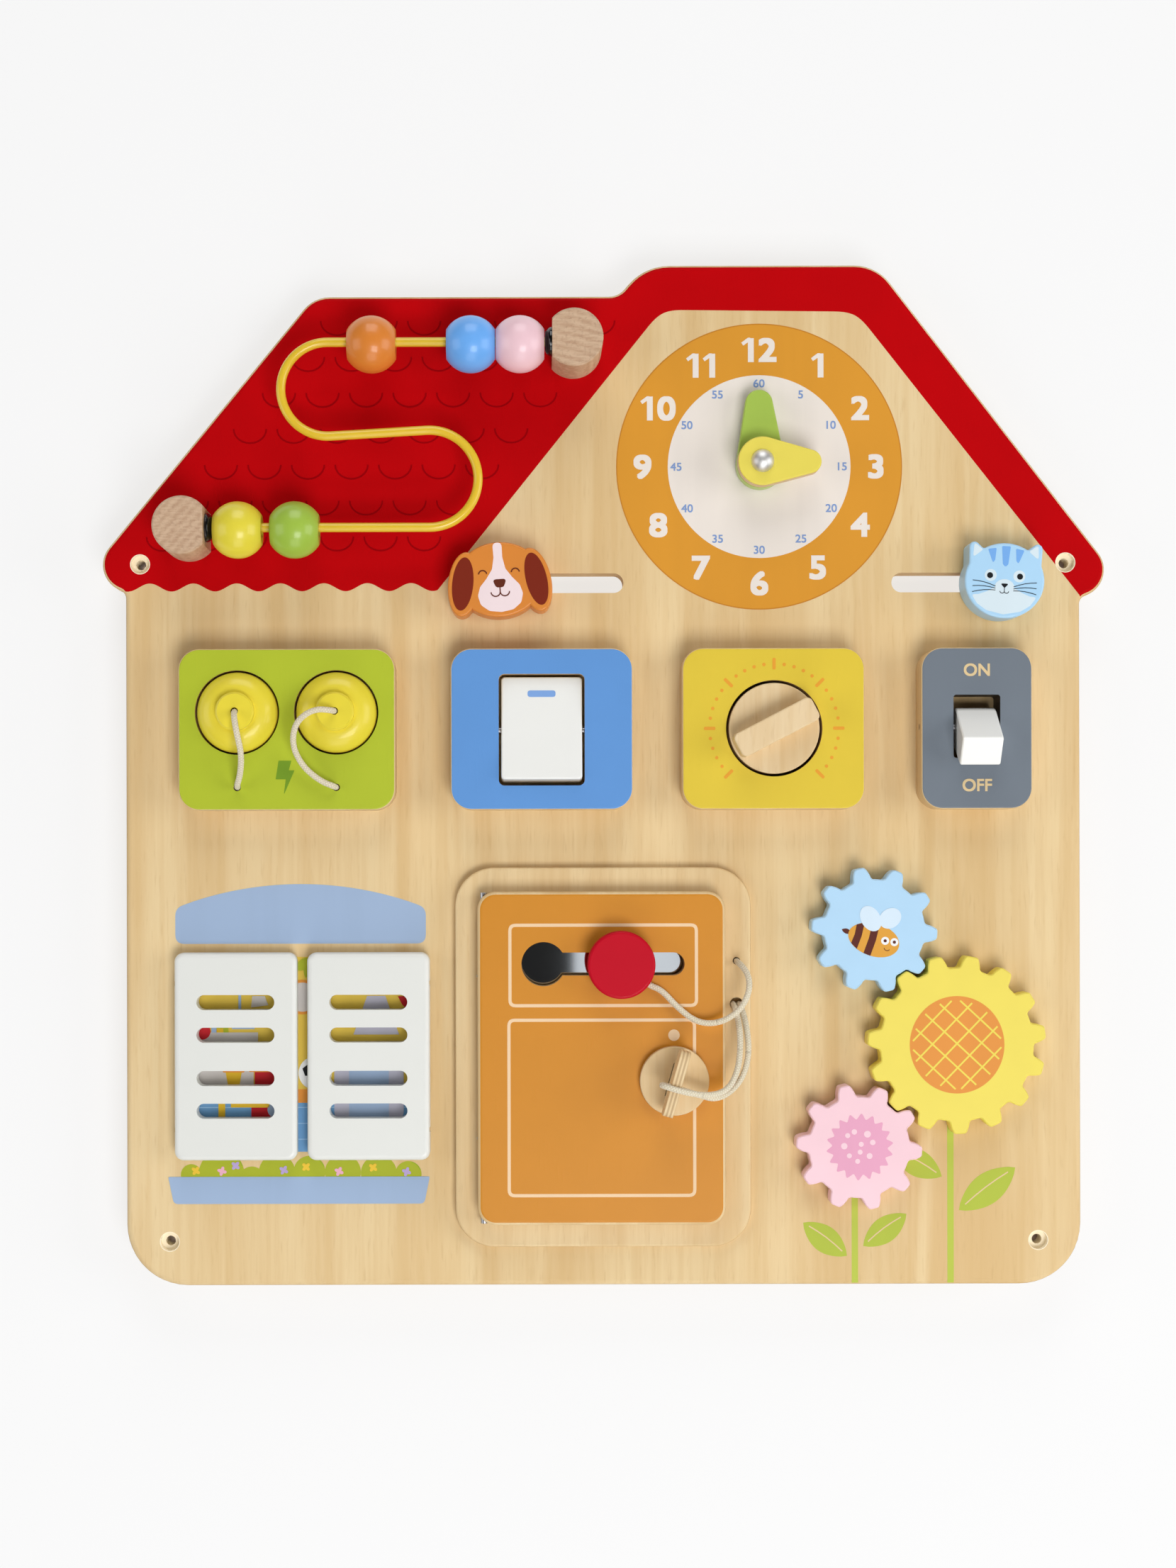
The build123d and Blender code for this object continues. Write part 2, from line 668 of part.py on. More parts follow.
def make_spindle(x, y, top, radius=SPINDLE_R, flange_r=SPINDLE_FLANGE_R):
    """A turned wooden spindle put in from behind: a flange that holds it, and a stem."""
    high = WALL_GAP - FLANGE_GAP
    flange = post(x, y, flange_r, high - SPINDLE_FLANGE_T, high)
    flange = fillet(flange.edges().group_by(Axis.Z)[0], FLANGE_EDGE_R)
    return flange + post(x, y, radius, high, top)


# ================================================================ animal sliders
def dog_face():
    """Dog's head: a broad oval with two hanging ears."""
    face = Ellipse(*DOG_HEAD)
    for side in (-1, 1):
        face += Pos(side * DOG_EAR_AT[0], DOG_EAR_AT[1]) * Rot(0, 0, side * DOG_EAR_TURN) * Ellipse(*DOG_EAR)
    return face


def cat_face():
    """Cat's head: a broad oval with two pointed ears."""
    face = Pos(0, CAT_HEAD_Y) * Ellipse(*CAT_HEAD)
    for side in (-1, 1):
        corners = [(side * x, y) for x, y in (CAT_EAR_IN, CAT_EAR_TIP, CAT_EAR_OUT)]
        ear = make_face(Polyline(*corners, close=True))
        face += round_corner(ear, corners[1], CAT_EAR_R)
    for side in (-1, 1):
        for (x, y), radius in ((CAT_NECK_IN, CAT_NECK_IN_R), (CAT_NECK_OUT, CAT_NECK_OUT_R)):
            face = round_corner(face, (side * x, y), radius)
    return face


def make_slider_head(face, x, tilt):
    low = FACE + REST
    head = soften(slab(face, low, low + HEAD_T), HEAD_EDGE_R, HEAD_EDGE_R)
    head -= post(0, 0, SLOT_W / 2 - SLIDE_GAP + RUN, low, low + HEAD_HOLE)
    return Pos(x, SLOT_Y) * Rot(0, 0, tilt) * head


def make_slider_stem(x):
    top = FACE + REST + HEAD_HOLE - RUN
    return make_spindle(x, SLOT_Y, top, SLOT_W / 2 - SLIDE_GAP, SLIDER_FLANGE_R)


# ================================================================ raised panels
def make_panel(centre, width):
    face = Pos(centre, PANEL_Y) * RectangleRounded(width, PANEL_H, PANEL_R)
    panel = soften(slab(face, FACE, FACE + PANEL_T), PANEL_EDGE_R)
    for place in screw_places():
        if abs(place[0] - centre) < width / 2 and place[2] == PANEL_BITE:
            panel -= screw_hole(*place)
    return panel


def well_places():
    return [(GREEN_C - WELL_PITCH / 2, WELL_Y), (GREEN_C + WELL_PITCH / 2, WELL_Y)]


def make_green_panel():
    panel = make_panel(GREEN_C, GREEN_W)
    top = FACE + PANEL_T
    for x, y in well_places():
        panel -= post(x, y, WELL_R, FACE, top)
        panel -= post(x, PANEL_CORD_Y, CORD_HOLE_R, top - CORD_SEAT, top)
    return panel


def cut_pivot(panel, centre, panel_w, opening_w, y, height):
    """Drill a pivot pin's hole in from the left side of a panel, across its opening."""
    left = centre - panel_w / 2
    right = centre + opening_w / 2 + PIN_BITE
    return panel - along_x((left + right) / 2, y, height, PIN_R + RUN, right - left)


def make_blue_panel():
    panel = make_panel(BLUE_C, SWITCH_W)
    opening = Pos(BLUE_C, ROCKER_Y) * RectangleRounded(ROCKER_OPENING_W, ROCKER_OPENING_L, OPENING_R)
    panel -= slab(opening, FACE, FACE + PANEL_T)
    return cut_pivot(panel, BLUE_C, SWITCH_W, ROCKER_OPENING_W, ROCKER_Y, FACE + ROCKER_PIVOT_H)


def make_yellow_panel():
    panel = make_panel(YELLOW_C, SWITCH_W)
    return panel - post(*DIAL, DIAL_HOLE_R, FACE, FACE + PANEL_T)


def make_grey_panel():
    panel = make_panel(GREY_C, GREY_W)
    window = Pos(GREY_C, TOGGLE_Y) * RectangleRounded(TOGGLE_WINDOW_W, TOGGLE_WINDOW_L, OPENING_R / 2)
    panel -= slab(window, FACE, FACE + PANEL_T)
    return cut_pivot(panel, GREY_C, GREY_W, TOGGLE_WINDOW_W, TOGGLE_Y, FACE + TOGGLE_PIVOT_H)


def make_pin(centre, width, y, height):
    return along_x(centre, y, height, PIN_R, width + 2 * PIN_BITE)


# ================================================================ moving switches
def make_plug(x, y):
    """A turned plug: straight side, domed shoulder and a raised button with the cord's hole."""
    low = REST
    shoulder = (PLUG_BUTTON_R + PLUG_NECK, PLUG_DOME)
    foot = [(0, low), (PLUG_R - PLUG_EDGE, low), (PLUG_R, low + PLUG_EDGE), (PLUG_R, PLUG_SIDE)]
    button = [shoulder, (PLUG_BUTTON_R, PLUG_DOME), (PLUG_BUTTON_R, PLUG_TOP - PLUG_EDGE)]
    button += [(PLUG_BUTTON_R - PLUG_EDGE, PLUG_TOP), (0, PLUG_TOP), (0, low)]
    dome = ThreePointArc((PLUG_R, PLUG_SIDE), PLUG_SWELL, shoulder)
    profile = Polyline(*foot) + dome + Polyline(*button)
    plug = revolve(Plane.XZ * make_face(profile), Axis.Z)
    plug -= post(0, 0, CORD_HOLE_R, PLUG_TOP - CORD_SEAT, PLUG_TOP)
    return Pos(x, y, FACE) * plug


def make_rocker():
    """A flat rocker on a cross pin, its top pressed in."""
    body = Pos(0, 0, (ROCKER_UP - ROCKER_DOWN) / 2) * Box(ROCKER_W, ROCKER_L, ROCKER_UP + ROCKER_DOWN)
    body = fillet(body.edges().filter_by(Axis.Z), ROCKER_CORNER_R)
    body = soften(body, ROCKER_EDGE_R, ROCKER_EDGE_R)
    body -= along_x(0, 0, 0, PIN_R + RUN, ROCKER_W)
    return Pos(BLUE_C, ROCKER_Y, FACE + ROCKER_PIVOT_H) * Rot(-ROCKER_TILT, 0, 0) * body


def make_dial():
    low = FACE + WASHER_T + THIN_GAP
    dial = soften(post(*DIAL, DIAL_R, low, FACE + DIAL_TOP), DIAL_EDGE_R)
    return dial - post(*DIAL, SPINDLE_R + RUN, low, low + DIAL_HOLE)


def make_grip():
    """The finger bar glued across the dial."""
    bar = slab(RectangleRounded(GRIP_L, GRIP_W, GRIP_CORNER_R), FACE + DIAL_TOP, FACE + DIAL_TOP + GRIP_H)
    return Pos(*DIAL) * Rot(0, 0, GRIP_AT) * soften(bar, GRIP_EDGE_R)


def make_toggle():
    """A wedge-shaped lever with a round hub on its pin, tipped down to off."""
    half_tip = TOGGLE_TIP_T / 2
    sides = [(-TOGGLE_HUB_R, 0), (-half_tip, TOGGLE_REACH), (half_tip, TOGGLE_REACH), (TOGGLE_HUB_R, 0)]
    wedge = make_face(Polyline(*sides, close=True))
    for corner in sides[1:3]:
        wedge = round_corner(wedge, corner, TOGGLE_TIP_R)
    profile = wedge + Circle(TOGGLE_HUB_R) - Circle(PIN_R + RUN)
    lever = extrude(Plane.YZ * profile, TOGGLE_W / 2, both=True)
    ends = lever.faces().filter_by(Axis.X)
    lever = chamfer([edge for face in ends for edge in face.outer_wire().edges()], TOGGLE_EDGE)
    return Pos(GREY_C, TOGGLE_Y, FACE + TOGGLE_PIVOT_H) * Rot(TOGGLE_TILT, 0, 0) * lever


# ================================================================ hinges
def make_eye(x, y, axis_h, ring_r, wire_r):
    """A screw eye: a wire ring round the hinge pin and a shank down into the board."""
    ring_part = Pos(x, y, axis_h) * Rot(90, 0, 0) * Torus(ring_r, wire_r)
    return ring_part + post(x, y, wire_r, FACE - EYE_SHANK_L, axis_h - ring_r)


def eye_notch(x, y, axis_h, ring_r, wire_r, side, edge, lift):
    """Room in a leaf for a screw eye, open to the leaf's back and to its hinge edge."""
    half = wire_r + NOTCH_PLAY
    outer = ring_r + wire_r + NOTCH_PLAY
    room = Pos(x, y, axis_h) * Rot(90, 0, 0) * Cylinder(outer, 2 * half)
    inner = wire_r + SHANK_LIFT
    low = axis_h - NOTCH_DEPTH
    width = inner + edge + NOTCH_PAST
    mid_x = x + side * (edge + NOTCH_PAST - inner) / 2
    room += Pos(mid_x, y, (low + axis_h + lift) / 2) * Box(width, 2 * half, axis_h + lift - low)
    return room


def pin_spans(top, bottom, upper_eye, lower_eye, past):
    """Lower and upper ends of the two hinge pins, put in from the ends of a leaf."""
    return [(upper_eye - past, top - PIN_SINK), (bottom + PIN_SINK, lower_eye + past)]


def make_shutter(centre_x, side):
    """A louvred shutter leaf with four peep slots, hung on its outer edge."""
    face = Pos(centre_x, SHUTTER_Y) * RectangleRounded(SHUTTER_W, SHUTTER_L, SHUTTER_R)
    low = FACE + SHUTTER_GAP
    leaf = soften(slab(face, low, low + SHUTTER_T), SHUTTER_EDGE_R, SHUTTER_EDGE_R)
    for off in (-PEEP_OUT, -PEEP_IN, PEEP_IN, PEEP_OUT):
        leaf -= slab(Pos(centre_x, SHUTTER_Y + off) * SlotOverall(PEEP_L, PEEP_W), low, low + SHUTTER_T)
    x = shutter_axis(centre_x, side)
    axis_h = shutter_axis_height()
    lift = SHUTTER_T / 2 - SHUTTER_SKIN
    for off in (-SHUTTER_EYE_OFF, SHUTTER_EYE_OFF):
        leaf -= eye_notch(x, SHUTTER_Y + off, axis_h, EYE_R, EYE_WIRE_R, side, SHUTTER_AXIS_IN, lift)
    for pin_low, pin_high in shutter_pin_spans():
        leaf -= along_y(x, pin_low, pin_high, axis_h, EYE_R - EYE_WIRE_R - RUN)
    return leaf


def shutter_pin_spans():
    top = SHUTTER_Y + SHUTTER_L / 2
    bottom = SHUTTER_Y - SHUTTER_L / 2
    return pin_spans(top, bottom, SHUTTER_Y + SHUTTER_EYE_OFF, SHUTTER_Y - SHUTTER_EYE_OFF, SHUTTER_PIN_PAST)


def make_shutter_pins(centre_x, side):
    x = shutter_axis(centre_x, side)
    radius = EYE_R - EYE_WIRE_R - 2 * RUN
    return [along_y(x, low, high, shutter_axis_height(), radius) for low, high in shutter_pin_spans()]


def door_pin_spans():
    top = DOOR_C[1] + DOOR_L / 2
    bottom = DOOR_C[1] - DOOR_L / 2
    return pin_spans(top, bottom, DOOR_EYES_Y[0], DOOR_EYES_Y[1], DOOR_PIN_PAST)


# ================================================================ door
def make_plate():
    """Frame behind the door, with a rebate for the latch and holes for the cords."""
    face = Pos(*PLATE_C) * RectangleRounded(PLATE_W, PLATE_L, PLATE_R)
    plate = soften(slab(face, FACE, FACE + PLATE_T), PLATE_EDGE_R)
    opening = Pos(*PLATE_C) * RectangleRounded(PLATE_OPEN_W, PLATE_OPEN_L, PLATE_OPEN_R)
    plate -= slab(opening, FACE, FACE + PLATE_T)
    rebate_top = FACE + LATCH_H + LATCH_T + LATCH_TOP_GAP
    plate -= post(*LOCK, LATCH_REACH + LATCH_END_GAP, FACE, rebate_top)
    plate -= post(CORD_HOLE_X, KNOB_CORD_Y, CORD_HOLE_R, FACE, FACE + PLATE_T)
    plate -= post(CORD_HOLE_X, KEY_CORD_Y, KEY_CORD_HOLE_R, FACE, FACE + PLATE_T)
    for y in DOOR_EYES_Y:
        plate -= post(door_axis_x(), y, DOOR_EYE_WIRE_R + RUN, FACE, FACE + PLATE_T)
    for place in screw_places():
        if place[2] == PLATE_BITE:
            plate -= screw_hole(*place)
    return plate


def make_mirror():
    width = PLATE_OPEN_W - 2 * MIRROR_GAP
    length = PLATE_OPEN_L - 2 * MIRROR_GAP
    face = Pos(*PLATE_C) * RectangleRounded(width, length, PLATE_OPEN_R - MIRROR_GAP)
    return slab(face, FACE - MIRROR_SINK, FACE - MIRROR_SINK + MIRROR_T)


def make_door():
    """Door with a keyhole track for the knob and a bore for the lock."""
    low = door_back()
    high = door_front()
    face = Pos(*DOOR_C) * RectangleRounded(DOOR_W, DOOR_L, DOOR_R)
    door = soften(slab(face, low, high), DOOR_EDGE_R, DOOR_EDGE_R)
    track = SlotCenterToCenter(TRACK_END_X - KEYHOLE_X, TRACK_W)
    track = Pos((KEYHOLE_X + TRACK_END_X) / 2, KEYHOLE_Y) * track
    door -= slab(track + Pos(KEYHOLE_X, KEYHOLE_Y) * Circle(KEYHOLE_R), low, high)
    door -= post(*LOCK, LOCK_HUB_R + 2 * RUN, low, high)
    axis_h = (low + high) / 2
    lift = DOOR_T / 2 - DOOR_SKIN
    for y in DOOR_EYES_Y:
        door -= eye_notch(door_axis_x(), y, axis_h, DOOR_EYE_R, DOOR_EYE_WIRE_R, -1, DOOR_AXIS_IN, lift)
    for pin_low, pin_high in door_pin_spans():
        door -= along_y(door_axis_x(), pin_low, pin_high, axis_h, DOOR_EYE_R - DOOR_EYE_WIRE_R - RUN)
    return door


def make_door_pins():
    radius = DOOR_EYE_R - DOOR_EYE_WIRE_R - 2 * RUN
    axis_h = (door_back() + door_front()) / 2
    return [along_y(door_axis_x(), low, high, axis_h, radius) for low, high in door_pin_spans()]


def make_knob_cap():
    low = door_front() + KNOB_LIFT
    return soften(post(KNOB_X, KEYHOLE_Y, KNOB_R, low, low + KNOB_T), KNOB_EDGE_R, KNOB_BACK_EDGE_R)


def make_knob_stem():
    """Stem through the track, with a flange behind the door and a cross hole for the cord."""
    flange_top = door_back() - KNOB_FLANGE_GAP
    stem = post(KNOB_X, KEYHOLE_Y, KNOB_STEM_R, flange_top, door_front() + KNOB_LIFT)
    flange = post(KNOB_X, KEYHOLE_Y, KNOB_FLANGE_R, flange_top - KNOB_FLANGE_T, flange_top)
    stem += soften(flange, KNOB_FLANGE_EDGE_R, KNOB_FLANGE_EDGE_R)
    height = door_front() + KNOB_LIFT / 2
    centre = at_angle((KNOB_X, KEYHOLE_Y), KNOB_STEM_R - KNOB_SEAT / 2, KNOB_CORD_AT)
    hole = Pos(*centre, height) * Rot(0, 0, KNOB_CORD_AT) * Rot(0, 90, 0) * Cylinder(CORD_R + RUN, KNOB_SEAT)
    return stem - hole


def lock_levels():
    """Lock disc's underside and top, and the top of the latch bar."""
    disc_low = door_front() + REST
    return disc_low, disc_low + LOCK_T, FACE + LATCH_H + LATCH_T


def make_lock_disc():
    """Disc in front of the door with a hub through it, slotted for the key."""
    disc_low, disc_high, latch_top = lock_levels()
    lock = soften(post(*LOCK, LOCK_R, disc_low, disc_high), LOCK_EDGE_R, LOCK_BACK_EDGE_R)
    lock += post(*LOCK, LOCK_HUB_R, latch_top, disc_low)
    slot = Rectangle(KEY_TONGUE_W + 2 * KEY_SLOT_PLAY, KEY_T + 2 * KEY_SLOT_PLAY)
    low = disc_high - KEY_TONGUE_L - KEY_SLOT_PLAY
    lock -= Pos(*LOCK) * Rot(0, 0, LOCK_AT) * slab(slot, low, disc_high)
    return lock - post(*LOCK, LATCH_SCREW_R + RUN, latch_top, low - LATCH_SCREW_END_GAP)


def latch_screw_head(play):
    """Countersunk head, or with some play the sink for it."""
    wide = LATCH_SCREW_HEAD_R + play
    narrow = LATCH_SCREW_R + play
    return Cone(wide, narrow, LATCH_SCREW_HEAD_T + play, align=(Align.CENTER, Align.CENTER, Align.MIN))


def make_latch():
    """Bar on the back of the hub that turns under the edge of the frame."""
    low = FACE + LATCH_H
    length = LATCH_REACH + LATCH_TAIL
    face = Pos((LATCH_REACH - LATCH_TAIL) / 2, 0) * SlotOverall(length, LATCH_W)
    bar = Pos(*LOCK) * Rot(0, 0, LOCK_AT) * slab(face, low, low + LATCH_T)
    bar -= Pos(*LOCK, low) * latch_screw_head(RUN)
    return bar - post(*LOCK, LATCH_SCREW_R + RUN, low, low + LATCH_T)


def make_latch_screw():
    low = FACE + LATCH_H
    top = lock_levels()[1] - KEY_TONGUE_L - KEY_SLOT_PLAY - LATCH_SCREW_END_GAP - RUN
    return Pos(*LOCK, low) * latch_screw_head(0) + post(*LOCK, LATCH_SCREW_R, low, top)


def make_key():
    """Flat plywood key: a tongue in the lock's slot and two finger wings."""
    disc_high = lock_levels()[1]
    foot = disc_high - KEY_TONGUE_L
    neck = disc_high + REST
    top = disc_high + KEY_H
    half_tongue = KEY_TONGUE_W / 2
    half_wing = KEY_WING_W / 2
    right = [(half_tongue, foot), (half_tongue, neck), (half_wing, neck + KEY_FLARE), (half_wing, top)]
    left = [(-x, z) for x, z in reversed(right)]
    face = make_face(Polyline(*right, *left, close=True))
    for side in (-1, 1):
        face = round_corner(face, (side * half_wing, top), KEY_TOP_R)
        face = round_corner(face, (side * half_wing, neck + KEY_FLARE), KEY_FLARE_R)
    face -= Pos(KEY_HOLE_OFF, top - KEY_HOLE_DOWN) * Circle(CORD_HOLE_R)
    key = extrude(Plane.XZ * face, KEY_T / 2, both=True)
    return Pos(*LOCK) * Rot(0, 0, LOCK_AT) * key


# ================================================================ gears
def gear_module():
    """Module of the train, from the mean of its two centre distances."""
    first = hypot(YELLOW_GEAR[0] - BLUE_GEAR[0], YELLOW_GEAR[1] - BLUE_GEAR[1])
    second = hypot(YELLOW_GEAR[0] - PINK_GEAR[0], YELLOW_GEAR[1] - PINK_GEAR[1])
    return (first + second) / (SMALL_TEETH + BIG_TEETH)


def involute(angle):
    return tan(angle) - angle


def gear_face(teeth, addendum, mate_addendum):
    """Toothed outline: involute flanks drawn as arcs, with rounded tips and roots."""
    pitch_r = gear_module() * teeth / 2
    tip_r = pitch_r + addendum
    root_r = pitch_r - mate_addendum - ROOT_GAP
    base_r = pitch_r * cos(radians(PRESSURE_DEG))
    start_r = max(base_r, root_r)

    def half_angle(radius):
        thick = pi / (2 * teeth) - BACKLASH / (2 * pitch_r)
        return thick + involute(radians(PRESSURE_DEG)) - involute(acos(min(1.0, base_r / radius)))

    def flank_point(radius, centre_angle, side):
        return at_angle((0, 0), radius, degrees(centre_angle + side * half_angle(radius)))

    step = 2 * pi / teeth
    middle_r = (start_r + tip_r) / 2
    edges = []
    corners = []
    for tooth in range(teeth):
        centre = tooth * step
        rise = [flank_point(r, centre, -1) for r in (start_r, middle_r, tip_r)]
        fall = [flank_point(r, centre, 1) for r in (tip_r, middle_r, start_r)]
        root_foot = at_angle((0, 0), root_r, degrees(centre + half_angle(start_r)))
        next_foot = at_angle((0, 0), root_r, degrees(centre + step - half_angle(start_r)))
        next_start = flank_point(start_r, centre + step, -1)
        edges.append(ThreePointArc(*rise))
        edges.append(ThreePointArc(rise[2], at_angle((0, 0), tip_r, degrees(centre)), fall[0]))
        edges.append(ThreePointArc(*fall))
        if start_r > root_r + SHORTEST_EDGE:
            edges.append(Line(fall[2], root_foot))
            edges.append(Line(next_foot, next_start))
        else:
            root_foot, next_foot = fall[2], next_start
        root_middle = at_angle((0, 0), root_r, degrees(centre + step / 2))
        edges.append(ThreePointArc(root_foot, root_middle, next_foot))
        corners += [(rise[2], TIP_R), (fall[0], TIP_R), (root_foot, ROOT_R), (next_foot, ROOT_R)]
    face = make_face(Wire(Curve() + edges))
    for corner, radius in corners:
        face = round_corner(face, corner, radius)
    return face


def gear_angles():
    """Rest angles that put all three gears in mesh."""
    to_yellow = degrees(atan2(YELLOW_GEAR[1] - BLUE_GEAR[1], YELLOW_GEAR[0] - BLUE_GEAR[0]))
    to_pink = degrees(atan2(PINK_GEAR[1] - YELLOW_GEAR[1], PINK_GEAR[0] - YELLOW_GEAR[0]))
    small_step = 360 / SMALL_TEETH
    gap = BLUE_GEAR_AT + small_step / 2
    yellow_at = to_yellow + 180 - (gap - to_yellow) * SMALL_TEETH / BIG_TEETH
    pink_gap = to_pink + 180 - (yellow_at - to_pink) * BIG_TEETH / SMALL_TEETH
    return BLUE_GEAR_AT, yellow_at, pink_gap + small_step / 2


def make_gear(centre, teeth, addendum, mate_addendum, angle):
    low = FACE + WASHER_T + THIN_GAP
    gear = slab(gear_face(teeth, addendum, mate_addendum), low, low + GEAR_T)
    gear = chamfer(gear.faces().sort_by(Axis.Z)[-1].edges(), GEAR_EDGE)
    gear -= post(0, 0, SPINDLE_R + RUN, low, low + GEAR_HOLE)
    return Pos(*centre) * Rot(0, 0, angle) * gear


# ================================================================ cords
# Routes of the cords as x, y and height above the board's face. The ends come from
# the pieces they are fixed to, and the points between are where each cord lies.
LEFT_PLUG_LAY = [
    (-157.6, -75.0, 32.0),
    (-155.6, -84.5, 29.0),
    (-156.8, -93.5, 23.5),
]
RIGHT_PLUG_LAY = [
    (-124.5, -65.6, 31.5),
    (-132.5, -71.0, 29.0),
    (-134.5, -80.5, 25.0),
    (-130.5, -89.5, 21.5),
    (-123.0, -96.0, 19.5),
]
KNOB_LAY = [
    (62.0, -179.5, 17.5),
    (62.4, -187.0, 21.0),
    (58.0, -195.5, 22.0),
    (49.5, -201.0, 20.0),
    (40.0, -201.0, 18.0),
    (31.5, -194.5, 17.0),
    (24.5, -186.6, 16.6),
]
KEY_LAY_OUT = [
    (61.5, -203.5, 17.0),
    (62.0, -214.0, 20.5),
    (59.6, -223.0, 22.5),
    (54.5, -229.8, 24.0),
    (47.0, -233.4, 26.5),
]
KEY_LAY_BACK = [
    (46.0, -231.0, 31.5),
    (52.5, -228.5, 28.5),
    (56.5, -221.5, 26.0),
    (58.0, -212.5, 23.0),
    (58.2, -203.0, 18.5),
]
PLUG_RISE = 28.5           # height at which a plug's cord turns over
PANEL_DROP = 18.0          # height from which it drops into the panel
PLATE_RISE = 10.5          # straight rise of the tethers out of the frame
STRAND_OFF = 1.4           # each strand of the key's loop from the middle of its hole
LOOP_IN = 10.0             # where the key's cord turns towards the key's hole
LOOP_BACK = 7.0            # and where it leaves the key's top edge
LOOP_DROP = 0.3
BEND_SHARE = 0.45          # share of a run that a bend may take at each end


def plug_cord_route(place, lay):
    """From the plug's button, over, and down into the panel."""
    x, y = place
    start = [(x, y, PLUG_TOP - CORD_SEAT), (x, y, PLUG_RISE)]
    end = [(x, PANEL_CORD_Y, PANEL_DROP), (x, PANEL_CORD_Y, PANEL_T - CORD_SEAT)]
    return start + lay + end


def knob_tether_route():
    """From the frame to the knob's stem."""
    start = [(CORD_HOLE_X, KNOB_CORD_Y, 0), (CORD_HOLE_X, KNOB_CORD_Y, PLATE_RISE)]
    height = door_front() + KNOB_LIFT / 2 - FACE
    near = at_angle((KNOB_X, KEYHOLE_Y), KNOB_R, KNOB_CORD_AT)
    seat = at_angle((KNOB_X, KEYHOLE_Y), KNOB_STEM_R - KNOB_SEAT, KNOB_CORD_AT)
    return start + KNOB_LAY + [(*near, height), (*seat, height)]


def key_tether_route():
    """One cord from the frame through the key, over its top edge and back."""
    hole = at_angle(LOCK, KEY_HOLE_OFF, LOCK_AT)
    top = lock_levels()[1] + KEY_H - FACE
    through = top - KEY_HOLE_DOWN
    over = top + CORD_R + KEY_LOOP_GAP
    side = KEY_T / 2 + (over - through) / 2
    near = at_angle(hole, LOOP_IN, LOCK_AT - 90)
    far = at_angle(hole, -side, LOCK_AT - 90)
    back = at_angle(hole, LOOP_BACK, LOCK_AT - 90)
    right = CORD_HOLE_X + STRAND_OFF
    left = CORD_HOLE_X - STRAND_OFF
    start = [(right, KEY_CORD_Y, 0), (right, KEY_CORD_Y, PLATE_RISE)]
    loop = [(*near, through), (*far, through), (*far, over), (*back, over - LOOP_DROP)]
    end = [(left, KEY_CORD_Y, PLATE_RISE), (left, KEY_CORD_Y, 0)]
    return start + KEY_LAY_OUT + loop + KEY_LAY_BACK + end


def cord(name, route):
    """A plain cord: straight runs joined by tangent arcs, as wide as the runs allow."""
    points = [Vector(x, y, FACE + h) for x, y, h in route]
    radii = []
    for before, corner, after in zip(points, points[1:], points[2:]):
        turn = (corner - before).get_angle(after - corner)
        run = min((corner - before).length, (after - corner).length)
        radii.append(BEND_SHARE * run / tan(radians(turn / 2)))
    path = FilletPolyline(*points, radius=radii)
    start = Plane(origin=points[0], z_dir=points[1] - points[0])
    tube = sweep(start * Circle(CORD_R), path=path)
    expected = pi * CORD_R**2 * path.length
    print(name, "length", round(path.length, 1), "radii", [round(r, 1) for r in radii])
    print(name, "volume", round(tube.volume / expected, 4), "of section x length")
    return tube


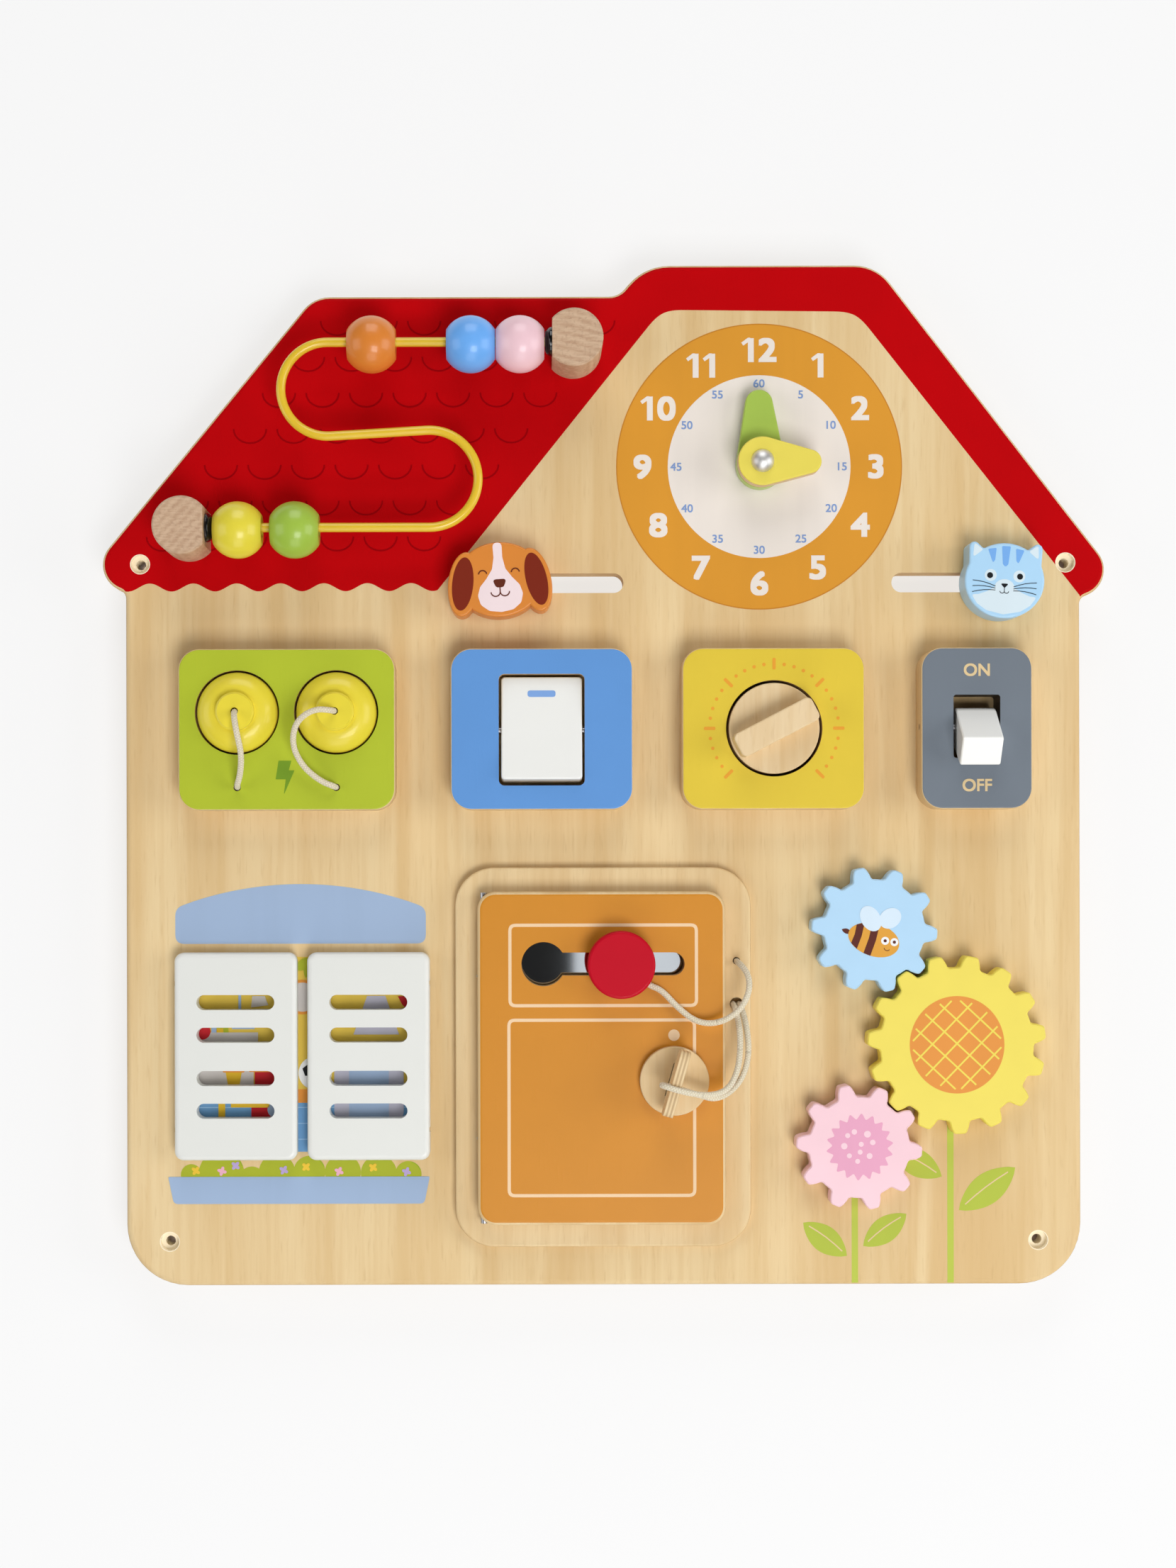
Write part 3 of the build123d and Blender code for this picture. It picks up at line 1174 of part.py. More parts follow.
# ================================================================ write the pieces
def main():
    save("main_board", make_main_board())
    save("wall_spacers", *make_wall_spacers())
    save("back_screws", *[screw(*place) for place in screw_places()])
    save("bead_wire", make_wire())
    save("upper_wire_block", make_block(UPPER_BLOCK_X, TOP_RUN_Y, -1))
    save("lower_wire_block", make_block(LOWER_BLOCK_X, LOW_RUN_Y, 1))
    caps = [make_cap(UPPER_BLOCK_X, TOP_RUN_Y, -1), make_cap(LOWER_BLOCK_X, LOW_RUN_Y, 1)]
    save("wire_caps", *caps)
    for name, x, run_y in bead_places():
        save(name, make_bead(x, run_y))

    minute_low, _, hour_low, _ = clock_levels()
    save("minute_hand", make_hand(MINUTE_L, MINUTE_TIP_R, MINUTE_AT, minute_low))
    save("hour_hand", make_hand(HOUR_L, HOUR_TIP_R, HOUR_AT, hour_low))
    save("clock_bolt", make_clock_bolt())
    save("clock_nut", make_clock_nut())
    save("spacer_washers", *make_washers())

    save("dog_slider", make_slider_head(dog_face(), DOG_X, DOG_TILT))
    save("dog_slider_stem", make_slider_stem(DOG_X))
    save("cat_slider", make_slider_head(cat_face(), CAT_X, CAT_TILT))
    save("cat_slider_stem", make_slider_stem(CAT_X))

    save("green_socket_panel", make_green_panel())
    for name, place in zip(("left_plug", "right_plug"), well_places()):
        save(name, make_plug(*place))
    save("blue_switch_panel", make_blue_panel())
    save("rocker", make_rocker())
    save("rocker_pin", make_pin(BLUE_C, ROCKER_OPENING_W, ROCKER_Y, FACE + ROCKER_PIVOT_H))
    save("yellow_dial_panel", make_yellow_panel())
    save("dial_knob", make_dial())
    save("dial_grip", make_grip())
    dial_top = FACE + WASHER_T + THIN_GAP + DIAL_HOLE - RUN
    save("dial_spindle", make_spindle(*DIAL, dial_top))
    save("grey_toggle_panel", make_grey_panel())
    save("toggle_lever", make_toggle())
    save("toggle_pin", make_pin(GREY_C, TOGGLE_WINDOW_W, TOGGLE_Y, FACE + TOGGLE_PIVOT_H))

    eyes = []
    leaves = [("left_shutter", LEFT_SHUTTER_X, -1), ("right_shutter", RIGHT_SHUTTER_X, 1)]
    for name, centre_x, side in leaves:
        save(name, make_shutter(centre_x, side))
        save(f"{name}_pins", *make_shutter_pins(centre_x, side))
        for off in (-SHUTTER_EYE_OFF, SHUTTER_EYE_OFF):
            x = shutter_axis(centre_x, side)
            eyes.append(make_eye(x, SHUTTER_Y + off, shutter_axis_height(), EYE_R, EYE_WIRE_R))
    save("shutter_hinge_eyes", *eyes)

    save("door_back_plate", make_plate())
    save("door_mirror", make_mirror())
    save("door", make_door())
    save("door_hinge_pins", *make_door_pins())
    axis_h = (door_back() + door_front()) / 2
    door_eyes = [make_eye(door_axis_x(), y, axis_h, DOOR_EYE_R, DOOR_EYE_WIRE_R) for y in DOOR_EYES_Y]
    save("door_hinge_eyes", *door_eyes)
    save("sliding_knob", make_knob_cap())
    save("sliding_knob_stem", make_knob_stem())
    save("lock_disc", make_lock_disc())
    save("latch_bar", make_latch())
    save("latch_screw", make_latch_screw())
    save("key", make_key())

    gear_top = FACE + WASHER_T + THIN_GAP + GEAR_HOLE - RUN
    blue_at, yellow_at, pink_at = gear_angles()
    small = (SMALL_TEETH, SMALL_ADDENDUM, BIG_ADDENDUM)
    big = (BIG_TEETH, BIG_ADDENDUM, SMALL_ADDENDUM)
    for name, centre, size, angle in (
        ("blue_gear", BLUE_GEAR, small, blue_at),
        ("yellow_gear", YELLOW_GEAR, big, yellow_at),
        ("pink_gear", PINK_GEAR, small, pink_at),
    ):
        save(name, make_gear(centre, *size, angle))
        save(f"{name}_spindle", make_spindle(*centre, gear_top))

    left_place, right_place = well_places()
    save("left_plug_cord", cord("left_plug_cord", plug_cord_route(left_place, LEFT_PLUG_LAY)))
    save("right_plug_cord", cord("right_plug_cord", plug_cord_route(right_place, RIGHT_PLUG_LAY)))
    save("knob_tether", cord("knob_tether", knob_tether_route()))
    save("key_tether", cord("key_tether", key_tether_route()))


main()
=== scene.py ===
# %% [markdown]
# A wooden busy board for a nursery wall. It is a house cut from birch plywood, with
# beads on a wire, a clock, switches, shutters, a locked door and three gears on it.
# The measured model comes first. Its pieces stay exactly where they are, and this
# lesson gives them their finishes, their printed pictures, their cords and the light.

# %% Load the measured model
import math

import bpy
from mathutils import Matrix, Vector


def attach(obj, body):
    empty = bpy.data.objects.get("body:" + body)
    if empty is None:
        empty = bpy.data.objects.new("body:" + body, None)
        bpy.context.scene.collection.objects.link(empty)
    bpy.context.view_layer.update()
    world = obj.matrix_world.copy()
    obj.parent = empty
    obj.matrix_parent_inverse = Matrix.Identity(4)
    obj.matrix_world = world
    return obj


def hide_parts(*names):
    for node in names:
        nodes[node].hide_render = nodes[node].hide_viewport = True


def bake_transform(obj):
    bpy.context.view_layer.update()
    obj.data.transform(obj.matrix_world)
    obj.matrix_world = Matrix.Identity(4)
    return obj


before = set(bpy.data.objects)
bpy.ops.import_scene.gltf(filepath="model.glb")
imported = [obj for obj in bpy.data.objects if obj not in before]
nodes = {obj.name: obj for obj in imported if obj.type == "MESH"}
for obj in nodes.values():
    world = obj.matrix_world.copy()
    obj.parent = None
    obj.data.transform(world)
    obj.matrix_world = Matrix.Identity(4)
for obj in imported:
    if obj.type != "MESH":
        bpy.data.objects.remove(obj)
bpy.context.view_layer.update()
print("pieces in the measured model:", len(nodes))

# %% [markdown]
# The board lies in one plane, so most things are easiest to place as on a drawing: x
# to the right, y up the board, and a height in front of the board's face, all in
# millimetres. One matrix stands such a drawing up on the board.

# %% From the drawing to the board
BOARD_FACE = 24.0  # mm from the wall to the front of the board
MM = 0.001
UPRIGHT = Matrix.Translation((0, -BOARD_FACE * MM, 0)) @ Matrix.Rotation(math.radians(90), 4, "X")


def on_board(x, y, height=0.0):
    """A place on the drawing, in metres in the room."""
    return Vector((x * MM, -(BOARD_FACE + height) * MM, y * MM))


def turned(x, y, degrees):
    """Matrix of a piece that sits at x, y on the drawing and is turned there."""
    return Matrix.Translation((x * MM, y * MM, 0)) @ Matrix.Rotation(math.radians(degrees), 4, "Z")


print("the clock's centre is at", on_board(68.9, 42.4))

# %% [markdown]
# The board hangs flat on a pale wall and is seen from straight in front, by a camera
# a metre away and a little low. The lens is shifted, as on a view camera, so that the
# board stays square while the frame slides up and to the right.

# %% Camera
CAMERA_BACK = 1.040  # metres from the board's face
CAMERA_X = -0.0362
CAMERA_Z = -0.1294
FRAME_WIDTH = 0.5173  # width of the view at the board's face
FILM = 36.0
SHIFT_RIGHT, SHIFT_UP = 0.0570, 0.0627  # as shares of the film's width
ROLL = 0.12  # degrees

camera_data = bpy.data.cameras.new("camera")
camera_data.sensor_fit = "HORIZONTAL"
camera_data.sensor_width = FILM
camera_data.lens = FILM * CAMERA_BACK / FRAME_WIDTH
camera_data.shift_x = SHIFT_RIGHT
camera_data.shift_y = SHIFT_UP
camera = bpy.data.objects.new("camera", camera_data)
camera.location = (CAMERA_X, -(BOARD_FACE * MM + CAMERA_BACK), CAMERA_Z)
camera.rotation_euler = (math.radians(90), math.radians(ROLL), 0)
bpy.context.scene.collection.objects.link(camera)
bpy.context.scene.camera = camera
print("lens:", round(camera_data.lens, 2), "mm")

# %% [markdown]
# Four cotton cords tie the loose pieces on. Each follows a route of a few points, the
# same ones that the measured model uses. A point is x, y and the height above the
# board. Every route starts and ends out of sight, in a hole or under the knob's cap.

# %% Routes of the cords
CORD_THICK = 2.6
LEFT_PLUG_ROUTE = [
    (-159.2, -66.2, 21.0), (-159.2, -66.2, 28.5), (-157.6, -75.0, 32.0), (-155.6, -84.5, 29.0),
    (-156.8, -93.5, 23.5), (-159.2, -98.7, 18.0), (-159.2, -98.7, 11.0),
]
RIGHT_PLUG_ROUTE = [
    (-116.2, -66.2, 21.0), (-116.2, -66.2, 28.5), (-124.5, -65.6, 31.5), (-132.5, -71.0, 29.0),
    (-134.5, -80.5, 25.0), (-130.5, -89.5, 21.5), (-123.0, -96.0, 19.5), (-116.2, -98.7, 18.0),
    (-116.2, -98.7, 11.0),
]
KNOB_TETHER_ROUTE = [
    (58.0, -174.7, 0.0), (58.0, -174.7, 10.5), (62.0, -179.5, 17.5), (62.4, -187.0, 21.0),
    (58.0, -195.5, 22.0), (49.5, -201.0, 20.0), (40.0, -201.0, 18.0), (31.5, -194.5, 17.0),
    (24.5, -186.6, 16.6), (18.4, -184.59, 16.4), (7.92, -176.4, 16.4),
]
KEY_TETHER_ROUTE = [
    (59.4, -193.6, 0.0), (59.4, -193.6, 10.5), (61.5, -203.5, 17.0), (62.0, -214.0, 20.5),
    (59.6, -223.0, 22.5), (54.5, -229.8, 24.0), (47.0, -233.4, 26.5), (39.06, -230.78, 29.3),
    (23.73, -226.38, 29.3), (23.73, -226.38, 36.9), (36.18, -229.95, 36.6), (46.0, -231.0, 31.5),
    (52.5, -228.5, 28.5), (56.5, -221.5, 26.0), (58.0, -212.5, 23.0), (58.2, -203.0, 18.5),
    (56.6, -193.6, 10.5), (56.6, -193.6, 0.0),
]
print("points of the key's route:", len(KEY_TETHER_ROUTE))

# %% [markdown]
# Straight runs between the points would look stiff. A NURBS spline rounds them into a
# soft line that keeps near its points. Blender works it out, and the line is read back
# as a row of places, so that it can be measured and cut into stretches.

# %% Soft lines along the routes


def as_mesh(data):
    """The finished mesh of a curve or text, without its object."""
    holder = bpy.data.objects.new("outline", data)
    bpy.context.scene.collection.objects.link(holder)
    bpy.context.view_layer.update()
    mesh = bpy.data.meshes.new_from_object(holder.evaluated_get(bpy.context.evaluated_depsgraph_get()))
    bpy.data.objects.remove(holder)
    return mesh


def spline_line(route):
    """Places along the NURBS spline of a route, read from a curve with no bevel."""
    curve = bpy.data.curves.new("route", "CURVE")
    curve.dimensions = "3D"
    curve.resolution_u = 10
    spline = curve.splines.new("NURBS")
    spline.points.add(len(route) - 1)
    for point, (x, y, height) in zip(spline.points, route):
        point.co = (*on_board(x, y, height), 1)
    spline.order_u = 3
    spline.use_endpoint_u = True
    mesh = as_mesh(curve)
    line = [vertex.co.copy() for vertex in mesh.vertices]
    bpy.data.meshes.remove(mesh)
    return line


def line_length(line):
    """How long a line of points is, in metres."""
    return sum((b - a).length for a, b in zip(line, line[1:]))


def nearest(line, place):
    """Index of the point of a line that is nearest to a place."""
    return min(range(len(line)), key=lambda i: (line[i] - place).length)


print("left plug's cord:", round(line_length(spline_line(LEFT_PLUG_ROUTE)) * 1000, 1), "mm")

# %% [markdown]
# A braided cord shows small slanting strands. The tube gets texture coordinates that
# run round it and along it, and its finish turns them into a plait.

# %% Tubes round a line
TUBE_SIDES = 14


def carried_frames(line):
    """Two directions square to the line at each point, carried along without twisting."""
    frames = []
    side = None
    for i, point in enumerate(line):
        ahead = (line[min(i + 1, len(line) - 1)] - line[max(i - 1, 0)]).normalized()
        if side is None:
            side = ahead.orthogonal().normalized()
        side = (side - ahead * side.dot(ahead)).normalized()
        frames.append((point, side, ahead.cross(side)))
    return frames


def tube(name, frames, radius):
    """A closed tube, with u round it and v along it in turns of its own girth."""
    verts = []
    for point, side, up in frames:
        for k in range(TUBE_SIDES):
            angle = 2 * math.pi * k / TUBE_SIDES
            verts.append(point + radius * (math.cos(angle) * side + math.sin(angle) * up))
    faces = []
    for i in range(len(frames) - 1):
        for k in range(TUBE_SIDES):
            a, b = i * TUBE_SIDES + k, i * TUBE_SIDES + (k + 1) % TUBE_SIDES
            faces.append((a, b, b + TUBE_SIDES, a + TUBE_SIDES))
    faces.append(tuple(reversed(range(TUBE_SIDES))))
    faces.append(tuple(range(len(verts) - TUBE_SIDES, len(verts))))
    mesh = bpy.data.meshes.new(name)
    mesh.from_pydata(verts, [], faces)
    along = [0.0]
    for (a, _, _), (b, _, _) in zip(frames, frames[1:]):
        along.append(along[-1] + (b - a).length / (2 * math.pi * radius))
    uv = mesh.uv_layers.new(name="round_and_along")
    for face in mesh.polygons:
        face.use_smooth = len(face.vertices) == 4
        if len(face.vertices) != 4:
            continue
        wraps = {v % TUBE_SIDES for v in face.vertices} == {0, TUBE_SIDES - 1}
        for loop in face.loop_indices:
            v = mesh.loops[loop].vertex_index
            k = v % TUBE_SIDES
            if wraps and k == 0:
                k = TUBE_SIDES
            uv.data[loop].uv = (k / TUBE_SIDES, along[v // TUBE_SIDES])
    mesh.validate()
    made = bpy.data.objects.new(name, mesh)
    bpy.context.scene.collection.objects.link(made)
    return made


print("a tube has", TUBE_SIDES, "sides")

# %% [markdown]
# Finishes come next, and small helpers keep each one short. A colour is named as
# painters do on a screen, from 0 to 255. A finish starts from the principled shader,
# which turns into wood, paint, metal or cotton by its numbers.

# %% Colours and new finishes


def srgb(red, green, blue):
    """A colour as painters name it, 0 to 255, in the linear light that shaders use."""
    def linear(value):
        c = value / 255
        return c / 12.92 if c <= 0.04045 else ((c + 0.055) / 1.055) ** 2.4

    return (linear(red), linear(green), linear(blue), 1.0)


def new_finish(name, roughness, metallic=0.0, coat=0.0, coat_roughness=0.1, gloss=0.5):
    """A material, its node tree and its shader."""
    material = bpy.data.materials.new(name)
    material.use_nodes = True
    shader = material.node_tree.nodes["Principled BSDF"]
    shader.inputs["Roughness"].default_value = roughness
    shader.inputs["Metallic"].default_value = metallic
    shader.inputs["Coat Weight"].default_value = coat
    shader.inputs["Coat Roughness"].default_value = coat_roughness
    shader.inputs["Specular IOR Level"].default_value = gloss
    return material, material.node_tree, shader


def feed(tree, socket, value):
    """Give a socket a number, a colour or another socket."""
    if isinstance(value, bpy.types.NodeSocket):
        tree.links.new(value, socket)
    else:
        socket.default_value = value


print("cream ink in linear light:", [round(c, 3) for c in srgb(236, 227, 218)])

# %% [markdown]
# A finish wired node by node soon gets hard to follow. These helpers add one sum, mix
# two colours by a mask, or turn a height into small bumps, each in one line.

# %% Sums, mixes and bumps


def sum_of(tree, operation, *values):
    """The result of one math node."""
    node = tree.nodes.new("ShaderNodeMath")
    node.operation = operation
    for socket, value in zip(node.inputs, values):
        feed(tree, socket, value)
    return node.outputs[0]


def mixed(tree, mask, first, second):
    """First colour where the mask is 0, second where it is 1."""
    node = tree.nodes.new("ShaderNodeMix")
    node.data_type = "RGBA"
    feed(tree, node.inputs[0], mask)
    feed(tree, node.inputs[6], first)
    feed(tree, node.inputs[7], second)
    return node.outputs[2]


def bumped(tree, shader, height, distance, strength):
    """Small bumps on a finish. distance is their height in metres."""
    node = tree.nodes.new("ShaderNodeBump")
    node.inputs["Strength"].default_value = strength
    node.inputs["Distance"].default_value = distance
    tree.links.new(height, node.inputs["Height"])
    tree.links.new(node.outputs["Normal"], shader.inputs["Normal"])


print("sums, mixes and bumps ready")

# %% [markdown]
# Wood, lacquer and cotton are never even. A noise varies them, read at a point's place
# on its own piece, so that the pattern moves with the piece. Stretching the place
# first draws the noise out into grain.

# %% Places and noises


def surface(tree, kind="Object"):
    """Where a point lies on its own piece or, by another kind, its normal or its UV."""
    return tree.nodes.new("ShaderNodeTexCoord").outputs[kind]


def axes_of(tree, vector):
    """The X, Y and Z of a vector, as three sockets."""
    node = tree.nodes.new("ShaderNodeSeparateXYZ")
    tree.links.new(vector, node.inputs[0])
    return node.outputs


def along_direction(tree, vector, direction):
    """How far a vector reaches along one direction."""
    node = tree.nodes.new("ShaderNodeVectorMath")
    node.operation = "DOT_PRODUCT"
    node.inputs[1].default_value = direction
    tree.links.new(vector, node.inputs[0])
    return node.outputs["Value"]


def noise(tree, place, scale, detail=3.0, distortion=0.0):
    """A noise from 0 to 1. A higher scale makes it finer."""
    node = tree.nodes.new("ShaderNodeTexNoise")
    feed(tree, node.inputs["Scale"], scale)
    node.inputs["Detail"].default_value = detail
    node.inputs["Distortion"].default_value = distortion
    tree.links.new(place, node.inputs["Vector"])
    return node.outputs["Fac"]


def stretched(tree, place, x, y, z):
    """The same place with each axis scaled, so that a noise draws out into streaks."""
    node = tree.nodes.new("ShaderNodeVectorMath")
    node.operation = "MULTIPLY"
    tree.links.new(place, node.inputs[0])
    node.inputs[1].default_value = (x, y, z)
    return node.outputs[0]


def spread(tree, value, low, high):
    """A value from low to high, made to run from 0 to 1."""
    node = tree.nodes.new("ShaderNodeMapRange")
    node.interpolation_type = "SMOOTHSTEP"
    tree.links.new(value, node.inputs["Value"])
    node.inputs["From Min"].default_value = low
    node.inputs["From Max"].default_value = high
    return node.outputs["Result"]


print("places and noises ready")

# %% [markdown]
# Effects that several finishes share are node groups. Each is drawn once and placed in
# a finish with that finish's own values.

# %% Shared effects as groups


def new_group(name, inputs, outputs):
    """An empty node group with named sockets, and its two end nodes."""
    group = bpy.data.node_groups.new(name, "ShaderNodeTree")
    for label, value in inputs:
        socket = group.interface.new_socket(label, in_out="INPUT", socket_type="NodeSocketFloat")
        socket.default_value = value
    for label in outputs:
        group.interface.new_socket(label, in_out="OUTPUT", socket_type="NodeSocketFloat")
    return group, group.nodes.new("NodeGroupInput"), group.nodes.new("NodeGroupOutput")


def use_group(tree, group, **values):
    """A group placed in a finish, with its own values."""
    node = tree.nodes.new("ShaderNodeGroup")
    node.node_tree = group
    for label, value in values.items():
        feed(tree, node.inputs[label], value)
    return node.outputs


print("groups ready")

# %% [markdown]
# Birch is pale, with faint warm streaks up the board and short dark pores. The streaks
# are a noise that is squeezed across the grain and drawn out along it.

# %% Birch grain
birch_grain, grain_in, grain_out = new_group(
    "birch_grain", [("Across", 46.0), ("Along", 3.2)], ["Streaks", "Fibres", "Pores"]
)
axes = axes_of(birch_grain, surface(birch_grain))
squeezed = birch_grain.nodes.new("ShaderNodeCombineXYZ")
for axis, rate in (("X", "Across"), ("Y", "Across"), ("Z", "Along")):
    scaled = sum_of(birch_grain, "MULTIPLY", axes[axis], grain_in.outputs[rate])
    birch_grain.links.new(scaled, squeezed.inputs[axis])
wide = squeezed.outputs[0]
streaks = noise(birch_grain, wide, 1.0, detail=5.0, distortion=0.9)
pores = noise(birch_grain, stretched(birch_grain, wide, 22.0, 22.0, 30.0), 1.0, detail=2.0)
fibres = noise(birch_grain, stretched(birch_grain, wide, 9.0, 9.0, 5.0), 1.0, detail=3.0)
feed(birch_grain, grain_out.inputs["Streaks"], spread(birch_grain, streaks, 0.36, 0.72))
feed(birch_grain, grain_out.inputs["Pores"], spread(birch_grain, pores, 0.55, 0.78))
feed(birch_grain, grain_out.inputs["Fibres"], spread(birch_grain, fibres, 0.35, 0.7))
print("birch grain group:", len(birch_grain.nodes), "nodes")

# %% [markdown]
# Plywood shows its layers on a cut edge: the grain of every second ply is cut across
# and looks darker. The group finds the edges by the direction the surface faces and
# draws the plies by depth.

# %% Plywood edge
plywood_edge, edge_in, edge_out = new_group("plywood_edge", [("Ply", 0.00135)], ["Mask"])
facing = axes_of(plywood_edge, surface(plywood_edge, "Normal"))
depth = axes_of(plywood_edge, surface(plywood_edge))
is_edge = sum_of(plywood_edge, "LESS_THAN", sum_of(plywood_edge, "ABSOLUTE", facing["Y"]), 0.55)
layer = sum_of(plywood_edge, "PINGPONG", depth["Y"], edge_in.outputs["Ply"])
share = sum_of(plywood_edge, "DIVIDE", layer, edge_in.outputs["Ply"])
dark_ply = spread(plywood_edge, share, 0.42, 0.58)
feed(plywood_edge, edge_out.inputs["Mask"], sum_of(plywood_edge, "MULTIPLY", is_edge, dark_ply))
print("plywood edge group:", len(plywood_edge.nodes), "nodes")

# %% [markdown]
# Printed panels carry colour only on their front. Where the edge is rounded off, bare
# wood shows as a thin pale rim. The group says how far forward a point is.

# %% Printed front
printed_front, front_in, front_out = new_group("printed_front", [("Depth", 0.0235)], ["Mask"])
backward = axes_of(printed_front, surface(printed_front))["Y"]
forward = sum_of(printed_front, "MULTIPLY", backward, -1.0)
in_front = sum_of(printed_front, "GREATER_THAN", forward, front_in.outputs["Depth"])
feed(printed_front, front_out.inputs["Mask"], in_front)
print("printed front group:", len(printed_front.nodes), "nodes")

# %% [markdown]
# Sprayed lacquer on wood isn't quite flat: it has a fine orange peel, and soft pores of
# the wood under it. Every painted piece shares this film.

# %% Lacquer film
lacquer_film, film_in, film_out = new_group("lacquer_film", [("Peel", 700.0)], ["Height", "Cloud"])
film_place = surface(lacquer_film)
peel = noise(lacquer_film, film_place, film_in.outputs["Peel"], detail=2.0)
feed(lacquer_film, film_out.inputs["Height"], peel)
feed(lacquer_film, film_out.inputs["Cloud"], noise(lacquer_film, film_place, 60.0))
print("shared effects:", [g.name for g in bpy.data.node_groups])

# %% [markdown]
# Bare birch mixes a light and a warm tone by the grain. The printed panels put their
# ink over the same wood, so both use one recipe for its colour.

# %% Bare birch
BIRCH_LIGHT = srgb(231, 206, 160)
BIRCH_WARM = srgb(213, 178, 124)
BIRCH_PORE = srgb(196, 160, 110)
PLY_DARK = srgb(170, 132, 90)


def birch_colour(tree, light=BIRCH_LIGHT, across=46.0, along=3.2, ply=0.00135):
    """Colour of bare birch, and the outputs of its grain."""
    grain = use_group(tree, birch_grain, Across=across, Along=along)
    face = mixed(tree, sum_of(tree, "MULTIPLY", grain["Streaks"], 0.75), light, BIRCH_WARM)
    face = mixed(tree, sum_of(tree, "MULTIPLY", grain["Fibres"], 0.3), face, BIRCH_WARM)
    face = mixed(tree, sum_of(tree, "MULTIPLY", grain["Pores"], 0.25), face, BIRCH_PORE)
    plies = use_group(tree, plywood_edge, Ply=ply)["Mask"]
    return mixed(tree, sum_of(tree, "MULTIPLY", plies, 0.55), face, PLY_DARK), grain


def birch_finish(name, **kinds):
    """Bare birch. kinds are its light tone, its grain and its plies."""
    material, tree, shader = new_finish(name, 0.52, gloss=0.3)
    colour, grain = birch_colour(tree, **kinds)
    feed(tree, shader.inputs["Base Color"], colour)
    bumped(tree, shader, grain["Pores"], 0.00006, 0.5)
    return material


def dress(material, *names):
    """Give one finish to some of the measured pieces."""
    for name in names:
        nodes[name].data.materials.clear()
        nodes[name].data.materials.append(material)


stem_names = ("dog_slider_stem", "cat_slider_stem", "sliding_knob_stem")
spindle_names = ("dial_spindle", "blue_gear_spindle", "yellow_gear_spindle", "pink_gear_spindle")
turned_birch = birch_finish("birch_turned", light=srgb(230, 207, 166), ply=0.0009)
dress(birch_finish("birch_plate"), "door_back_plate", *stem_names)
dress(turned_birch, "dial_knob", "wall_spacers", *spindle_names)
dress(birch_finish("birch_grip", light=srgb(236, 213, 174), across=30.0, ply=0.5), "dial_grip")
dress(birch_finish("birch_lock", light=srgb(226, 202, 160), across=60.0, ply=0.0009), "lock_disc")
print("bare birch:", [m.name for m in bpy.data.materials if m.name.startswith("birch")])

# %% [markdown]
# The panels, the door and the hour hand are birch with ink on the front only. The ink
# could be a second sheet, but the shader can find the front by itself, by depth, and
# then the ink follows every rounded edge. The toggle's opening gets painted shade inside: its walls are
# darkened as if in shadow.

# %% Printed birch
PANEL_TOP, DOOR_TOP, HAND_TOP = 15.0, 14.5, 15.8  # mm from the board's face
# Painted shade: inside this rectangle the inner walls of the toggle's opening are coloured dark brown, as if
# in shadow.
TOGGLE_SHADE_WELL = (145.0, 178.0, -95.0, -52.0)  # left, right, low and high, in mm


def ink_starts(top, rim):
    """Depth in metres where the ink of a piece starts, a rim's width below its top."""
    return (BOARD_FACE + top - rim) * MM


def in_window(tree, left, right, low, high):
    """1 inside a rectangle of the board's face, in mm, and 0 outside it."""
    axes = axes_of(tree, surface(tree))
    across = sum_of(tree, "COMPARE", axes["X"], (left + right) / 2 * MM, (right - left) / 2 * MM)
    upward = sum_of(tree, "COMPARE", axes["Z"], (low + high) / 2 * MM, (high - low) / 2 * MM)
    return sum_of(tree, "MULTIPLY", across, upward)


def printed_finish(name, ink, front, shade_well=None):
    """Ink on the front of a birch piece: front is the depth, in metres, where it starts.
    shade_well is a rectangle whose inner walls get painted shade: they are darkened as if in shadow."""
    material, tree, shader = new_finish(name, 0.42, gloss=0.25)
    wood, grain = birch_colour(tree)
    if shade_well:
        # Painted shade: inside the well the wood turns dark brown, standing in for the shadow there.
        wood = mixed(tree, in_window(tree, *shade_well), wood, srgb(44, 36, 30))
    film = use_group(tree, lacquer_film, Peel=900.0)
    deeper = tuple(c * 0.93 for c in ink[:3]) + (1.0,)
    inked = mixed(tree, film["Cloud"], deeper, ink)
    mask = use_group(tree, printed_front, Depth=front)["Mask"]
    feed(tree, shader.inputs["Base Color"], mixed(tree, mask, wood, inked))
    height = sum_of(tree, "ADD", film["Height"], sum_of(tree, "MULTIPLY", grain["Pores"], 0.5))
    bumped(tree, shader, height, 0.00005, 0.55)
    return material


for colour, ink, piece, shade_well in (
    ("green", srgb(180, 194, 50), "green_socket_panel", None),
    ("blue", srgb(98, 152, 216), "blue_switch_panel", None),
    ("yellow", srgb(226, 198, 62), "yellow_dial_panel", None),
    ("grey", srgb(115, 124, 134), "grey_toggle_panel", TOGGLE_SHADE_WELL),
):
    dress(printed_finish(f"{colour}_panel_print", ink, ink_starts(PANEL_TOP, 0.12), shade_well=shade_well), piece)
dress(printed_finish("orange_door_print", srgb(210, 139, 43), ink_starts(DOOR_TOP, 0.15)), "door")
dress(printed_finish("hour_hand_print", srgb(235, 218, 92), ink_starts(HAND_TOP, 0.45)), "hour_hand")
print("ink starts on the panels at", round(ink_starts(PANEL_TOP, 0.12), 5), "m")
